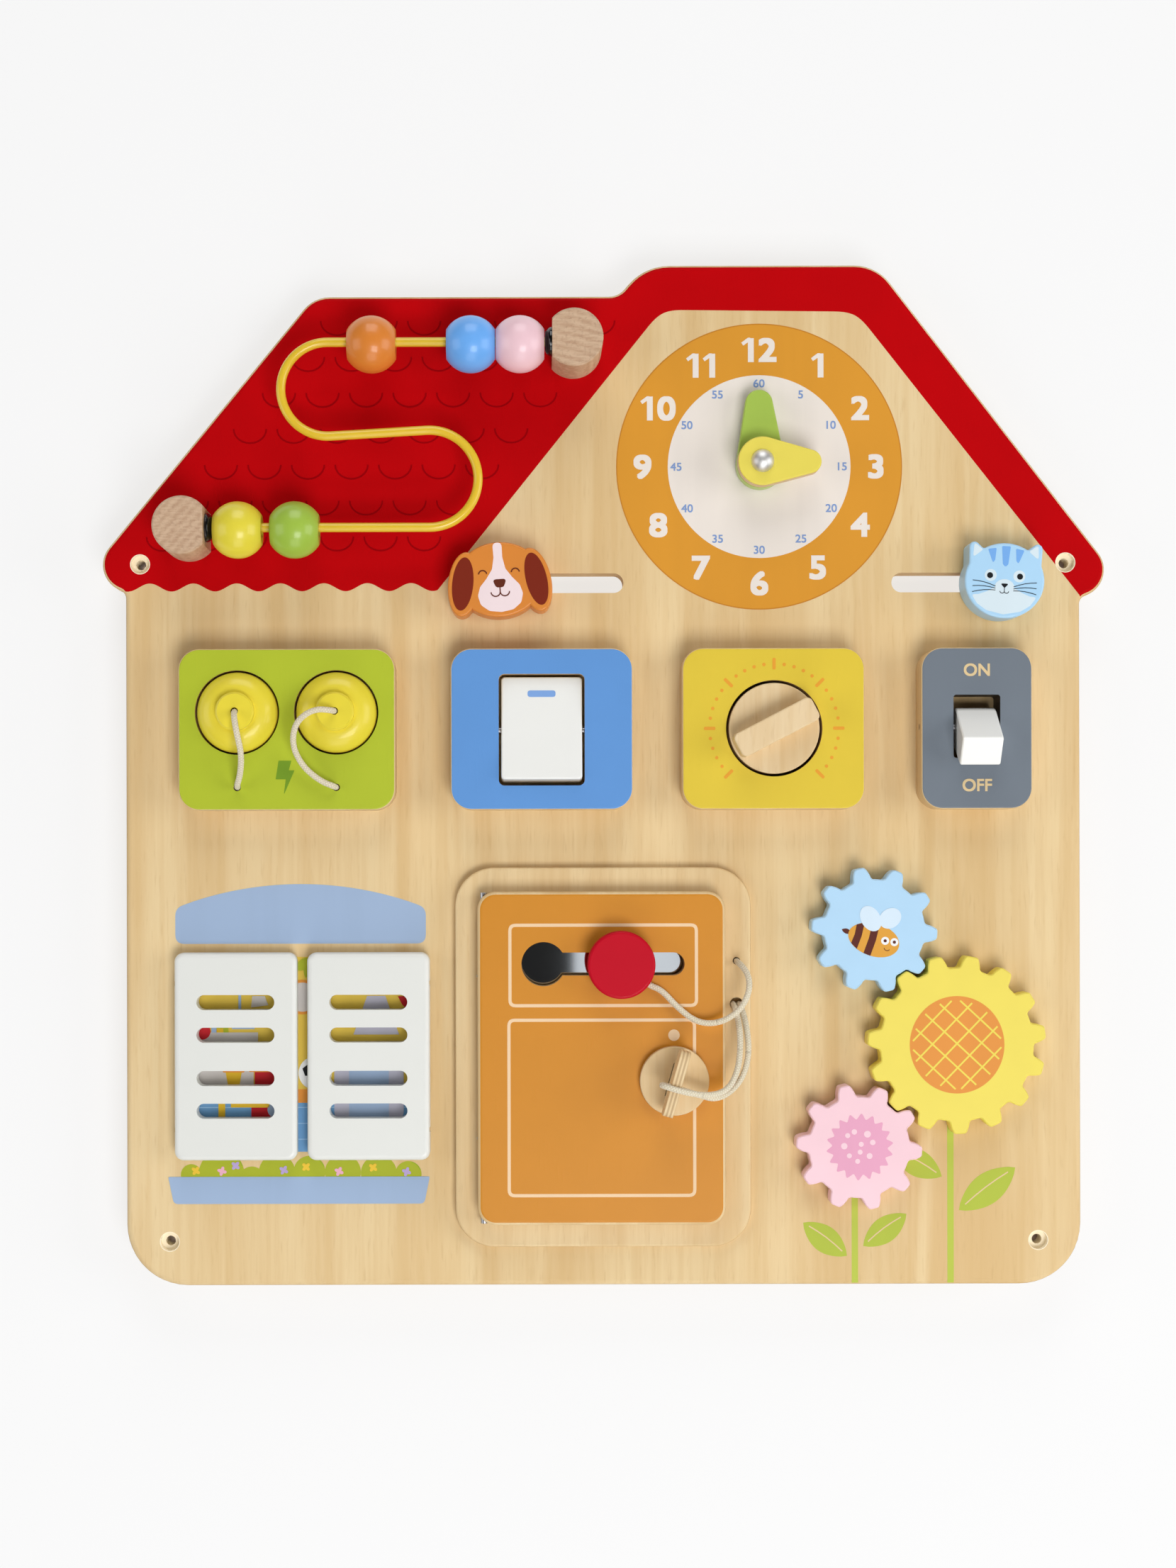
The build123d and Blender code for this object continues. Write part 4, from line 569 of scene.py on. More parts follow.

# %% [markdown]
# The roof is red ink on the same board. A shader finds it: in front, above a wavy line
# of tile ends, and outside the gable, whose three sides are straight lines. A smooth
# minimum of the distances to those lines rounds the gable's corners. The four screw
# recesses are cut through the ink, and their floors get painted light: a wood paler than the birch, which
# brightens them where they lie in shade.

# %% Board with its red roof
WAVE = 19.15  # mm from tile end to tile end
FIRST_TILE = -208.8
WAVE_MIDDLE = -10.25
WAVE_DEPTH = 1.75
GABLE_LEFT = ((23.4, 108.0), (-71.8, -10.6))
GABLE_RIGHT = ((207.5, -11.6), (116.5, 104.2))
GABLE_TOP = ((109.6, 110.5), (30.3, 111.4))
GABLE_ROUNDING = 9.0
LEFT_END_BEND = 0.0669  # how fast the line rises before the first tile
RIGHT_DROP = -9.0  # mm, the eave on the right is lower
RED = srgb(192, 3, 10)
SCREW_PLACES = ((203.5, 0.0), (191.0, -298.0))  # mm to either side, and up
LIT_RECESS_R = 4.4  # mm, the screw recesses get painted light, a wood paler than the birch


def distance_to_line(tree, x, y, line):
    """Distance in mm to the left of a directed line: above 0 on the gable's side."""
    (x0, y0), (x1, y1) = line
    length = math.hypot(x1 - x0, y1 - y0)
    nx, ny = -(y1 - y0) / length, (x1 - x0) / length
    total = sum_of(tree, "MULTIPLY_ADD", x, nx, -(nx * x0 + ny * y0))
    return sum_of(tree, "MULTIPLY_ADD", y, ny, total)


roofed, tree, shader = new_finish("birch_board_with_red_roof", 0.55, gloss=0.04)
wood, grain = birch_colour(tree, across=40.0, along=2.6)
board_axes = axes_of(tree, surface(tree))
x = sum_of(tree, "MULTIPLY", board_axes["X"], 1000.0)
y = sum_of(tree, "MULTIPLY", board_axes["Z"], 1000.0)
gable = distance_to_line(tree, x, y, GABLE_LEFT)
for side in (GABLE_TOP, GABLE_RIGHT):
    gable = sum_of(tree, "SMOOTH_MIN", gable, distance_to_line(tree, x, y, side), GABLE_ROUNDING)
past = sum_of(tree, "SUBTRACT", x, FIRST_TILE)
turn = sum_of(tree, "MULTIPLY", sum_of(tree, "MAXIMUM", past, 0.0), 2 * math.pi / WAVE)
wave = sum_of(tree, "MULTIPLY_ADD", sum_of(tree, "COSINE", turn), -WAVE_DEPTH, WAVE_MIDDLE)
before = sum_of(tree, "MINIMUM", past, 0.0)
wave = sum_of(tree, "MULTIPLY_ADD", sum_of(tree, "MULTIPLY", before, before), LEFT_END_BEND, wave)
wave = sum_of(tree, "MULTIPLY_ADD", sum_of(tree, "GREATER_THAN", x, 0.0), RIGHT_DROP, wave)
above = sum_of(tree, "GREATER_THAN", y, wave)
outside = sum_of(tree, "LESS_THAN", gable, 0.0)
front = use_group(tree, printed_front, Depth=(BOARD_FACE - 0.5) * MM)["Mask"]
roof = sum_of(tree, "MULTIPLY", sum_of(tree, "MULTIPLY", above, outside), front)
film = use_group(tree, lacquer_film, Peel=900.0)
red = mixed(tree, film["Cloud"], tuple(c * 0.9 for c in RED[:3]) + (1.0,), RED)
near = []
for across, up in SCREW_PLACES:
    aside = sum_of(tree, "SUBTRACT", sum_of(tree, "ABSOLUTE", x), across)
    over = sum_of(tree, "SUBTRACT", y, up)
    near.append(sum_of(tree, "MULTIPLY_ADD", aside, aside, sum_of(tree, "MULTIPLY", over, over)))
# Painted light: the floors of the screw recesses, which lie in shade, are coloured a wood much paler than the
# birch.
lit_recess = sum_of(tree, "LESS_THAN", sum_of(tree, "MINIMUM", *near), LIT_RECESS_R**2)
painted = mixed(tree, roof, wood, red)
feed(tree, shader.inputs["Base Color"], mixed(tree, lit_recess, painted, srgb(252, 240, 214)))
bumped(tree, shader, sum_of(tree, "ADD", grain["Pores"], film["Height"]), 0.00005, 0.5)
dress(roofed, "main_board")
print("roof shader:", len(tree.nodes), "nodes")

# %% [markdown]
# The lacquered pieces are one recipe with many colours. The beads are the glossiest,
# the gears and heads are satin, and the shutters, rocker and toggle are one white paint, with painted light
# in the lighter copies on the rocker and the toggle, for how the light falls on them.

# %% Lacquered pieces


def lacquer_finish(name, colour, roughness, coat, shade=0.92, peel=700.0, bump=0.00005, gloss=0.35):
    """Coloured lacquer all over a wooden piece."""
    material, tree, shader = new_finish(name, roughness, coat=coat, coat_roughness=0.12, gloss=gloss)
    film = use_group(tree, lacquer_film, Peel=peel)
    deeper = tuple(c * shade for c in colour[:3]) + (1.0,)
    feed(tree, shader.inputs["Base Color"], mixed(tree, film["Cloud"], deeper, colour))
    bumped(tree, shader, film["Height"], bump, 0.5)
    return material


for name, colour in (
    ("orange", srgb(226, 134, 52)), ("blue", srgb(113, 179, 251)), ("pink", srgb(247, 207, 216)),
    ("yellow", srgb(234, 218, 66)), ("green", srgb(164, 197, 73)),
):
    bead = lacquer_finish(f"{name}_bead_lacquer", colour, 0.38, coat=0.3, peel=420.0, bump=0.00009)
    dress(bead, f"{name}_bead")
for name, colour, piece in (
    ("sky", srgb(180, 218, 246), "blue_gear"), ("sun", srgb(240, 221, 92), "yellow_gear"),
    ("rose", srgb(246, 206, 215), "pink_gear"),
):
    dress(lacquer_finish(f"{name}_lacquer", colour, 0.48, coat=0.15, peel=520.0, bump=0.00007), piece)
dress(lacquer_finish("plug_lacquer", srgb(238, 219, 62), 0.42, coat=0.25), "left_plug", "right_plug")
dress(lacquer_finish("leaf_lacquer", srgb(168, 197, 83), 0.4, coat=0.3), "minute_hand")
# Painted light: the rocker's and the toggle's whites are lighter copies of the shutters' white, standing in
# for how the light falls on them.
for name, colour, pieces in (
    ("shutter_white", srgb(229, 230, 225), ("left_shutter", "right_shutter")),
    ("rocker_white_painted_light", srgb(240, 240, 236), ("rocker",)),
    ("toggle_white_painted_light", srgb(252, 252, 248), ("toggle_lever",)),
):
    dress(lacquer_finish(name, colour, 0.38, coat=0.25, shade=0.97), *pieces)
dress(lacquer_finish("knob_lacquer", srgb(194, 6, 34), 0.5, coat=0.05, gloss=0.12), "sliding_knob")
dress(lacquer_finish("dog_lacquer", srgb(222, 136, 52), 0.45, coat=0.2), "dog_slider")
dress(lacquer_finish("cat_lacquer", srgb(176, 218, 248), 0.45, coat=0.2), "cat_slider")
dress(lacquer_finish("wire_coat", srgb(234, 196, 52), 0.34, coat=0.4, peel=1400.0, bump=0.00002), "bead_wire")
print("lacquers:", len([m for m in bpy.data.materials if "lacquer" in m.name]))

# %% [markdown]
# The wire ends in two dowels of beech, cut across the grain. End grain shows growth
# rings, crossed by fine rays and saw marks, and it is greyer than the birch.

# %% Beech end grain
beech, tree, shader = new_finish("beech_end_grain", 0.62)
place = surface(tree)
rings = tree.nodes.new("ShaderNodeTexWave")
rings.wave_type = "RINGS"
rings.rings_direction = "Y"
rings.inputs["Scale"].default_value = 95.0
rings.inputs["Distortion"].default_value = 0.7
rings.inputs["Detail"].default_value = 3.0
rings.inputs["Detail Scale"].default_value = 1.6
shifted = tree.nodes.new("ShaderNodeVectorMath")
shifted.operation = "ADD"
shifted.inputs[1].default_value = (0.06, 0.0, 0.10)
tree.links.new(place, shifted.inputs[0])
tree.links.new(shifted.outputs[0], rings.inputs["Vector"])
rays = spread(tree, noise(tree, stretched(tree, place, 260.0, 200.0, 1500.0), 1.0, detail=3.0), 0.42, 0.62)
flecks = spread(tree, noise(tree, place, 900.0, detail=2.0), 0.5, 0.75)
colour = mixed(tree, rings.outputs["Fac"], srgb(200, 168, 138), srgb(187, 152, 122))
colour = mixed(tree, sum_of(tree, "MULTIPLY", rays, 0.35), colour, srgb(222, 192, 160))
colour = mixed(tree, sum_of(tree, "MULTIPLY", flecks, 0.3), colour, srgb(146, 110, 84))
feed(tree, shader.inputs["Base Color"], colour)
bumped(tree, shader, sum_of(tree, "ADD", rays, flecks), 0.00006, 0.6)
dress(beech, "upper_wire_block", "lower_wire_block")
print("beech end grain:", len(tree.nodes), "nodes")

# %% [markdown]
# The key is a slice of plywood seen on its edge. Its plies run up the blade, across
# its own thickness, so its stripes are drawn along that direction.

# %% Key
KEY_TURN = math.radians(74.0)
KEY_PLY = 0.0008  # metres
ply_key, tree, shader = new_finish("birch_key", 0.55)
key_normal = (-math.sin(KEY_TURN), 0.0, math.cos(KEY_TURN))
across_key = along_direction(tree, surface(tree), key_normal)
facing_key = along_direction(tree, surface(tree, "Normal"), key_normal)
key_plies = spread(tree, sum_of(tree, "PINGPONG", across_key, KEY_PLY), 0.0003, 0.0005)
on_edge = sum_of(tree, "LESS_THAN", sum_of(tree, "ABSOLUTE", facing_key), 0.6)
stripes = sum_of(tree, "MULTIPLY", sum_of(tree, "MULTIPLY", key_plies, on_edge), 0.6)
grain = use_group(tree, birch_grain, Across=60.0, Along=40.0)
colour = mixed(tree, sum_of(tree, "MULTIPLY", grain["Streaks"], 0.5), BIRCH_LIGHT, BIRCH_WARM)
feed(tree, shader.inputs["Base Color"], mixed(tree, stripes, colour, PLY_DARK))
bumped(tree, shader, grain["Pores"], 0.00006, 0.5)
dress(ply_key, "key")
print("key:", len(tree.nodes), "nodes")

# %% [markdown]
# The hard pieces come next. The clock's dome is chrome, dulled by a light smudge. The
# hinge eyes, pins and screws are zinc with fine brushing, and the caps on the wire and
# the washers are black plastic. A mirror is metal with hardly any roughness.

# %% Metal, plastic and mirror
chrome, tree, shader = new_finish("chrome", 0.2, metallic=1.0)
smudge = noise(tree, surface(tree), 260.0)
feed(tree, shader.inputs["Base Color"], mixed(tree, smudge, srgb(214, 212, 208), srgb(236, 236, 236)))
feed(tree, shader.inputs["Roughness"], sum_of(tree, "MULTIPLY_ADD", smudge, 0.06, 0.48))
dress(chrome, "clock_bolt")
zinc, tree, shader = new_finish("zinc", 0.36, metallic=1.0)
brushing = noise(tree, stretched(tree, surface(tree), 300.0, 4000.0, 300.0), 1.0)
feed(tree, shader.inputs["Base Color"], mixed(tree, brushing, srgb(150, 150, 154), srgb(200, 200, 204)))
bumped(tree, shader, brushing, 0.00002, 0.4)
dress(zinc, "back_screws", "clock_nut", "rocker_pin", "toggle_pin", "shutter_hinge_eyes", "left_shutter_pins",
      "right_shutter_pins", "door_hinge_eyes", "door_hinge_pins", "latch_bar", "latch_screw")
dress(lacquer_finish("black_nylon", srgb(16, 16, 18), 0.2, coat=0.5, peel=1500.0, bump=0.00002), "wire_caps")
washer_black = lacquer_finish("washer_nylon", srgb(30, 30, 32), 0.5, coat=0.0, peel=1800.0, bump=0.00003)
dress(washer_black, "spacer_washers")
mirror, tree, shader = new_finish("acrylic_mirror", 0.04, metallic=1.0)
haze = noise(tree, surface(tree), 30.0)
feed(tree, shader.inputs["Base Color"], mixed(tree, haze, srgb(206, 210, 214), srgb(226, 229, 232)))
dress(mirror, "door_mirror")
print("mirror:", len(tree.nodes), "nodes")

# %% [markdown]
# A cord's plait could be modelled strand by strand, but it is only a fraction of a
# millimetre deep. Two sets of slanting waves, one each way round, give it here, drawn on
# the coordinates that run round and along the tube.

# %% Cotton cord
cotton, tree, shader = new_finish("cotton_cord", 0.85)
cord_axes = axes_of(tree, surface(tree, "UV"))


def slanting(direction):
    """Strands that climb round the cord one way: 0 between them, 1 on their backs."""
    climb = sum_of(tree, "MULTIPLY", cord_axes["Y"], 7.0)
    turn = sum_of(tree, "MULTIPLY_ADD", cord_axes["X"], direction * 4.0, climb)
    wave = sum_of(tree, "SINE", sum_of(tree, "MULTIPLY", turn, 2 * math.pi))
    return sum_of(tree, "MULTIPLY_ADD", wave, 0.5, 0.5)


plait = sum_of(tree, "MULTIPLY", slanting(1.0), slanting(-1.0))
fuzz = noise(tree, surface(tree), 2600.0)
strand_shade = sum_of(tree, "MULTIPLY_ADD", plait, 0.8, 0.2)
# Painted shade: the cord's colour darkens between the strands, where shade falls, and is lightest on their
# backs.
feed(tree, shader.inputs["Base Color"], mixed(tree, strand_shade, srgb(206, 192, 160), srgb(246, 239, 220)))
shader.inputs["Sheen Weight"].default_value = 0.25
bumped(tree, shader, sum_of(tree, "MULTIPLY_ADD", fuzz, 0.25, plait), 0.00022, 0.8)
print("cord finish:", len(tree.nodes), "nodes")

# %% [markdown]
# Each cord now gets its tube. A plug's cord is one piece. The knob's tether crosses two joints, so it has two
# stretches. The key's tether crosses three, the door's, the lock's and the key's own,
# on its way out and on its way back. Stretches meet end to end with the same girth.

# %% Cords on the board


def lay_cord(name, frames, node):
    """One stretch of cord: a cotton tube along its frames, in place of a cord of the measured model, which is
    hidden.
    """
    piece = tube(name, frames, CORD_THICK / 2 * MM)
    piece.data.materials.append(cotton)
    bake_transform(piece)
    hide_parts(node)


for side, route in (("left", LEFT_PLUG_ROUTE), ("right", RIGHT_PLUG_ROUTE)):
    x = route[0][0]
    lay_cord(f"{side}_plug_cord_cotton", carried_frames(spline_line(route)),
             f"{side}_plug_cord")

knob_frames = carried_frames(spline_line(KNOB_TETHER_ROUTE))
knob_cut = nearest([f[0] for f in knob_frames], on_board(48.5, -200.5, 20.0))
lay_cord("knob_tether_at_frame", knob_frames[: knob_cut + 1],
         "knob_tether")
lay_cord("knob_tether_at_knob", knob_frames[knob_cut:],
         "knob_tether")

key_frames = carried_frames(spline_line(KEY_TETHER_ROUTE))
key_line = [f[0] for f in key_frames]
key_long = line_length(key_line) / MM
TO_DOOR, TO_LOCK = 32.0, 63.5  # mm along each strand to the cuts at the door and the lock


def ring_at(millimetres):
    """Index of the ring that lies this far along the key's tether."""
    return min(range(len(key_line)), key=lambda i: abs(line_length(key_line[: i + 1]) - millimetres * MM))


cut_places = (TO_DOOR, TO_LOCK, key_long - TO_LOCK, key_long - TO_DOOR)
cuts = [0] + [ring_at(place) for place in cut_places] + [len(key_line) - 1]
for name, first, last, bodies, start, end in (
    ("key_tether_out", 0, 1, ("board", "door"), (60.3, -196.0, 12), (61.9, -211.0, 19)),
    ("key_tether_out_to_lock", 1, 2, ("door", "lock"), (60.8, -219.0, 22), (46.0, -232.5, 26)),
    ("key_tether_loop", 2, 3, ("lock", "key"), (43.0, -231.0, 30), (36.0, -230.0, 30)),
    ("key_tether_back_from_lock", 4, 3, ("door", "lock"), (58.0, -217.0, 24), (46.0, -230.8, 31)),
    ("key_tether_back", 5, 4, ("board", "door"), (57.0, -196.0, 12), (58.1, -209.0, 21)),
):
    stretch = key_frames[min(cuts[first], cuts[last]): max(cuts[first], cuts[last]) + 1]
    ordered = stretch if first < last else stretch[::-1]
    lay_cord(name, ordered, "key_tether")

# %% [markdown]
# Pictures are printed on the wood. Each colour is a flat outline, a few hundredths of
# a millimetre thick, that lies on the surface like a layer of ink and rides on the
# piece it is printed on. A colour printed over another lies one layer higher.

# %% Ovals and rounded shapes
INK = 0.05  # mm per layer of ink


def oval(x, y, rx, ry=None, turn=0.0, steps=48):
    """An oval. A few steps make it a polygon with equal sides."""
    ry = rx if ry is None else ry
    c, s = math.cos(math.radians(turn)), math.sin(math.radians(turn))
    out = []
    for k in range(steps):
        a = 2 * math.pi * k / steps
        u, v = rx * math.cos(a), ry * math.sin(a)
        out.append((x + c * u - s * v, y + s * u + c * v))
    return out


def rounded(corners, radius, steps=5):
    """A polygon with rounded corners. radius is one number, or one for each corner."""
    radii = radius if isinstance(radius, (list, tuple)) else [radius] * len(corners)
    out = []
    for i, (corner, r) in enumerate(zip(corners, radii)):
        p = Vector(corner)
        a, b = Vector(corners[i - 1]) - p, Vector(corners[(i + 1) % len(corners)]) - p
        half = a.angle(b) / 2
        cut = min(r / math.tan(half), 0.49 * a.length, 0.49 * b.length)
        if cut < 0.01:
            out.append(tuple(p))
            continue
        start, end = p + a.normalized() * cut, p + b.normalized() * cut
        for k in range(steps + 1):
            t = k / steps
            out.append(tuple((1 - t) ** 2 * start + 2 * t * (1 - t) * p + t * t * end))
    return out


def box_shape(x0, y0, x1, y1, radius=0.0):
    """A rectangle from corner to corner."""
    return rounded([(x0, y0), (x1, y0), (x1, y1), (x0, y1)], radius)


print("a rounded square has", len(box_shape(0, 0, 10, 10, 2)), "points")

# %% [markdown]
# Some marks are lines, such as a smile or a whisker. A line is drawn as a thin band, so
# that it can be filled like any other shape. Any shape can be moved, turned or flipped.

# %% Lines, arcs and leaves


def line_shape(points, width):
    """A drawn line: a band of one width along some points."""
    left, right = [], []
    for i, p in enumerate(points):
        a, b = Vector(points[max(i - 1, 0)]), Vector(points[min(i + 1, len(points) - 1)])
        n = (b - a).normalized().orthogonal() * width / 2
        left.append(tuple(Vector(p) + n))
        right.append(tuple(Vector(p) - n))
    return left + right[::-1]


def arc_points(x, y, rx, ry, start, end, steps=14):
    """Points of an arc between two angles in degrees."""
    angles = [math.radians(start + (end - start) * k / steps) for k in range(steps + 1)]
    return [(x + rx * math.cos(a), y + ry * math.sin(a)) for a in angles]


def leaf_shape(x0, y0, x1, y1, belly, steps=14):
    """A pointed leaf from tip to tip, with one round bulge each side."""
    a, b = Vector((x0, y0)), Vector((x1, y1))
    n = (b - a).orthogonal().normalized() * belly

    def side(k, sign):
        return tuple(a.lerp(b, k / steps) + sign * n * math.sin(math.pi * k / steps) ** 0.8)

    return [side(k, 1) for k in range(steps + 1)] + [side(k, -1) for k in range(steps - 1, 0, -1)]


def moved(shape, dx, dy, turn=0.0):
    """A shape turned about its own middle and then shifted."""
    c, s = math.cos(math.radians(turn)), math.sin(math.radians(turn))
    return [(dx + c * x - s * y, dy + s * x + c * y) for x, y in shape]


def mirrored(shape):
    """A shape flipped from left to right."""
    return [(-x, y) for x, y in reversed(shape)]


print("a leaf has", len(leaf_shape(0, 0, 10, 0, 3)), "points")

# %% [markdown]
# Blender fills closed 2D curves, holes included, and gives them a thickness. The
# helper below fills outlines that way, joins them into one mesh and stands them up.

# %% Printing on a piece
HAIR = 0.0025  # mm, the step that keeps overlapping shapes of one colour apart


def filled(outlines, thick):
    """A flat shape with a thickness in mm, filled between its outlines."""
    curve = bpy.data.curves.new("outline", "CURVE")
    curve.dimensions = "2D"
    curve.fill_mode = "BOTH"
    curve.extrude = thick * MM / 2
    for points in outlines:
        spline = curve.splines.new("POLY")
        spline.points.add(len(points) - 1)
        for point, (px, py) in zip(spline.points, points):
            point.co = (px * MM, py * MM, 0, 1)
        spline.use_cyclic_u = True
    return as_mesh(curve)


def print_on(name, body, material, shapes, surface_height, layer=1, at=None, meshes=()):
    """Ink of one colour on a piece, whose face is surface_height mm above the board."""
    verts, faces = [], []
    parts = []
    for k, shape in enumerate(shapes):
        thick = INK * layer + HAIR * (k % 19)
        up = Matrix.Translation((0, 0, thick / 2 * MM))
        parts.append((filled(shape if isinstance(shape[0], list) else [shape], thick), up))
    lift = Matrix.Translation((0, 0, surface_height * MM))
    for mesh, own in parts + list(meshes):
        start = len(verts)
        verts += [own @ vertex.co for vertex in mesh.vertices]
        faces += [tuple(start + v for v in face.vertices) for face in mesh.polygons]
    ink = bpy.data.meshes.new(name)
    ink.from_pydata(verts, [], faces)
    ink.transform(UPRIGHT @ lift @ (at or Matrix.Identity(4)))
    ink.materials.append(material)
    piece = bpy.data.objects.new(name, ink)
    bpy.context.scene.collection.objects.link(piece)
    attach(piece, body)


print("a layer of ink is", INK, "mm thick")

# %% [markdown]
# Figures and words come from Blender's own typeface. Its offset setting could make them
# bold, but it tears the corners. Each figure is struck nine times instead, every time a
# little to one side, as a rubber stamp would be.

# %% Lettering
STRIKES = [(i, j) for i in (-1, 0, 1) for j in (-1, 0, 1)]
# The flag of a 1, in cap heights from the figure's upper left corner.
FLAG = [(0.1, 0.0), (0.0, 0.0), (-0.27, -0.2), (-0.19, -0.32), (0.1, -0.12)]


def lettering(text, cap_height, bold, layer, x, y, wide=1.0, flagged=False):
    """Figures or letters of one cap height, centred on x, y. Bold ones are struck
    several times, each time moved by the width of bold in another direction. The
    typeface's 1 is a bare bar, so flagged figures get a flag on each 1 and are set closer."""
    def written(words, extrude=0.0):
        data = bpy.data.curves.new("letters", "FONT")
        data.body = words
        data.extrude = extrude
        data.space_character = 0.9 if flagged else 1.0
        return data

    measure = as_mesh(written("8"))
    tall = max(v.co.y for v in measure.vertices) - min(v.co.y for v in measure.vertices)
    scale = (cap_height - 2 * bold) * MM / tall
    mesh = as_mesh(written(text, 0.5))
    xs = [v.co.x for v in mesh.vertices]
    ys = [v.co.y for v in mesh.vertices]
    centre = Vector(((min(xs) + max(xs)) / 2, (min(ys) + max(ys)) / 2, 0))
    struck = []
    if flagged and text[0] == "1":
        bar_xs = [v.co.x for v in as_mesh(written("1")).vertices]
        bar = (max(bar_xs) - min(bar_xs)) * scale * wide / MM + 2 * bold
        half = (max(xs) - min(xs)) / 2 * scale * wide / MM + bold
        x -= FLAG[2][0] * cap_height / 2
        for k, left in enumerate([-half, half - bar][: text.count("1")]):
            thick = INK * layer + HAIR * (len(STRIKES) + k)
            flag = [(x + left + cap_height * fx, y + cap_height * (0.5 + fy)) for fx, fy in FLAG]
            struck.append((filled([flag], thick), Matrix.Translation((0, 0, thick / 2 * MM))))
    for k, (i, j) in enumerate(STRIKES):
        thick = (INK * layer + HAIR * k) * MM
        place = Matrix.Translation(((x + bold * i) * MM, (y + bold * j) * MM, thick / 2))
        size = Matrix.Diagonal((scale * wide, scale, thick, 1))
        struck.append((mesh, place @ size @ Matrix.Translation(-centre)))
    return struck


print("each bold figure is struck", len(STRIKES), "times")

# %% [markdown]
# One recipe makes every ink: its colour, a fine peel like the lacquer's and a trace of
# the wood's streaks, since thin ink lets them through.

# %% Inks


def ink_finish(name, colour, gloss=0.2):
    """Printing ink: the film's fine peel, with a trace of the wood's streaks."""
    material, tree, shader = new_finish(name, 0.5, gloss=gloss)
    film = use_group(tree, lacquer_film, Peel=900.0)
    grain = use_group(tree, birch_grain, Across=46.0, Along=3.2)
    deeper = tuple(c * 0.9 for c in colour[:3]) + (1.0,)
    inked = mixed(tree, sum_of(tree, "MULTIPLY", grain["Streaks"], 0.35), colour, deeper)
    clouds = sum_of(tree, "MULTIPLY", film["Cloud"], 0.05)
    feed(tree, shader.inputs["Base Color"], mixed(tree, clouds, inked, deeper))
    bumped(tree, shader, film["Height"], 0.00004, 0.5)
    return material


inks = {
    name: ink_finish(f"{name}_ink", srgb(*rgb)) for name, rgb in {
        "ring_edge": (198, 130, 40), "orange": (219, 151, 48), "cream": (236, 227, 218),
        "minute_blue": (128, 156, 206), "awning_blue": (160, 182, 212), "wall_yellow": (228, 196, 80),
        "skirting": (226, 148, 60), "panelling": (110, 160, 205), "pale_line": (158, 196, 226),
        "hedge": (171, 180, 45), "hedge_dark": (146, 172, 40), "daisy_yellow": (236, 196, 60),
        "daisy_pink": (236, 176, 196), "daisy_lilac": (186, 166, 214), "stem": (185, 198, 74),
        "leaf": (178, 192, 66), "birch_ink": (226, 200, 152), "bolt_green": (116, 152, 38),
        "tick_orange": (232, 160, 52), "door_line": (240, 208, 168), "white": (238, 240, 242),
        "wing": (214, 232, 246), "honey": (222, 160, 62), "brown": (92, 40, 30),
        "sunflower": (228, 149, 68), "sun_line": (238, 218, 92), "petal": (230, 165, 193),
        "petal_dot": (244, 208, 218), "ear_brown": (124, 36, 14), "blaze": (242, 222, 224),
        "nose_brown": (98, 40, 22), "stripe_blue": (120, 174, 236), "muzzle": (216, 232, 240),
        "black": (22, 24, 28), "red": (196, 30, 40), "shelf_grey": (206, 200, 196),
        "pot_yellow": (226, 184, 44), "lilac": (186, 184, 200),
    }.items()
}
inks["tile_red"] = ink_finish("tile_red_ink", srgb(152, 0, 8), gloss=0.04)


def print_all(body, surface_height, rows, at=None):
    """Several prints on one piece. A row is a name, an ink, a layer and its shapes."""
    for name, ink, layer, shapes in rows:
        print_on(name, body, inks[ink], shapes, surface_height, layer=layer, at=at)
    print("printed:", [row[0] for row in rows])


print("inks:", len(inks))

# %% [markdown]
# Roof tiles are rows of small U shapes in a darker red. Each row is shifted to the
# left, so the tiles follow the slope of the roof.

# %% Roof tiles
FACE = 0.0  # mm, the height of the board's own face
TILE_X, TILE_FOOT = -142.2, 69.0  # the first tile of the third row
TILE_HALF, TILE_DEEP = 7.2, 6.2
ROW_LEFT, ROW_DOWN = 12.8, 15.8  # mm from one row to the next
tiles = []
for row in range(1, 8):
    for k in range(7):
        x = TILE_X + (3 - row) * ROW_LEFT + k * WAVE
        y = TILE_FOOT + (3 - row) * ROW_DOWN + TILE_DEEP
        tiles.append(line_shape(arc_points(x, y, TILE_HALF, TILE_DEEP, 180, 360), 0.7))
print_on("roof_tile_lines", "board", inks["tile_red"], tiles, FACE)
print("tiles:", len(tiles))

# %% [markdown]
# The clock's face is printed: an orange ring, a pale middle, bold hours and small blue
# minutes. The figures stand upright all the way round.

# %% Clock face
CLOCK_X, CLOCK_Y = 68.9, 42.4
HOURS_R, MINUTES_R = 51.3, 36.6
print_all("board", FACE, (
    ("clock_outline", "ring_edge", 1, [oval(CLOCK_X, CLOCK_Y, 62.9, steps=128)]),
    ("clock_ring", "orange", 2, [oval(CLOCK_X, CLOCK_Y, 62.4, steps=128)]),
    ("clock_middle", "cream", 3, [oval(CLOCK_X, CLOCK_Y, 40.2, steps=96)]),
))
hours, minutes = [], []
for hour in range(1, 13):
    angle = math.radians(90 - 30 * hour)
    c, s = math.cos(angle), math.sin(angle)
    hour_x, hour_y = CLOCK_X + HOURS_R * c, CLOCK_Y + HOURS_R * s
    hours += lettering(str(hour), 10.8, 0.5, 3, hour_x, hour_y, wide=1.16, flagged=True)
    minute_x, minute_y = CLOCK_X + MINUTES_R * c, CLOCK_Y + MINUTES_R * s
    minutes += lettering(str(5 * hour), 3.6, 0.08, 4, minute_x, minute_y, wide=1.05)
print_on("clock_hours", "board", inks["cream"], [], FACE, meshes=hours)
print_on("clock_minutes", "board", inks["minute_blue"], [], FACE, meshes=minutes)

# %% [markdown]
# The four raised panels have small prints of their own: a spark under the plugs, ticks
# round the dial, and the words beside the toggle.

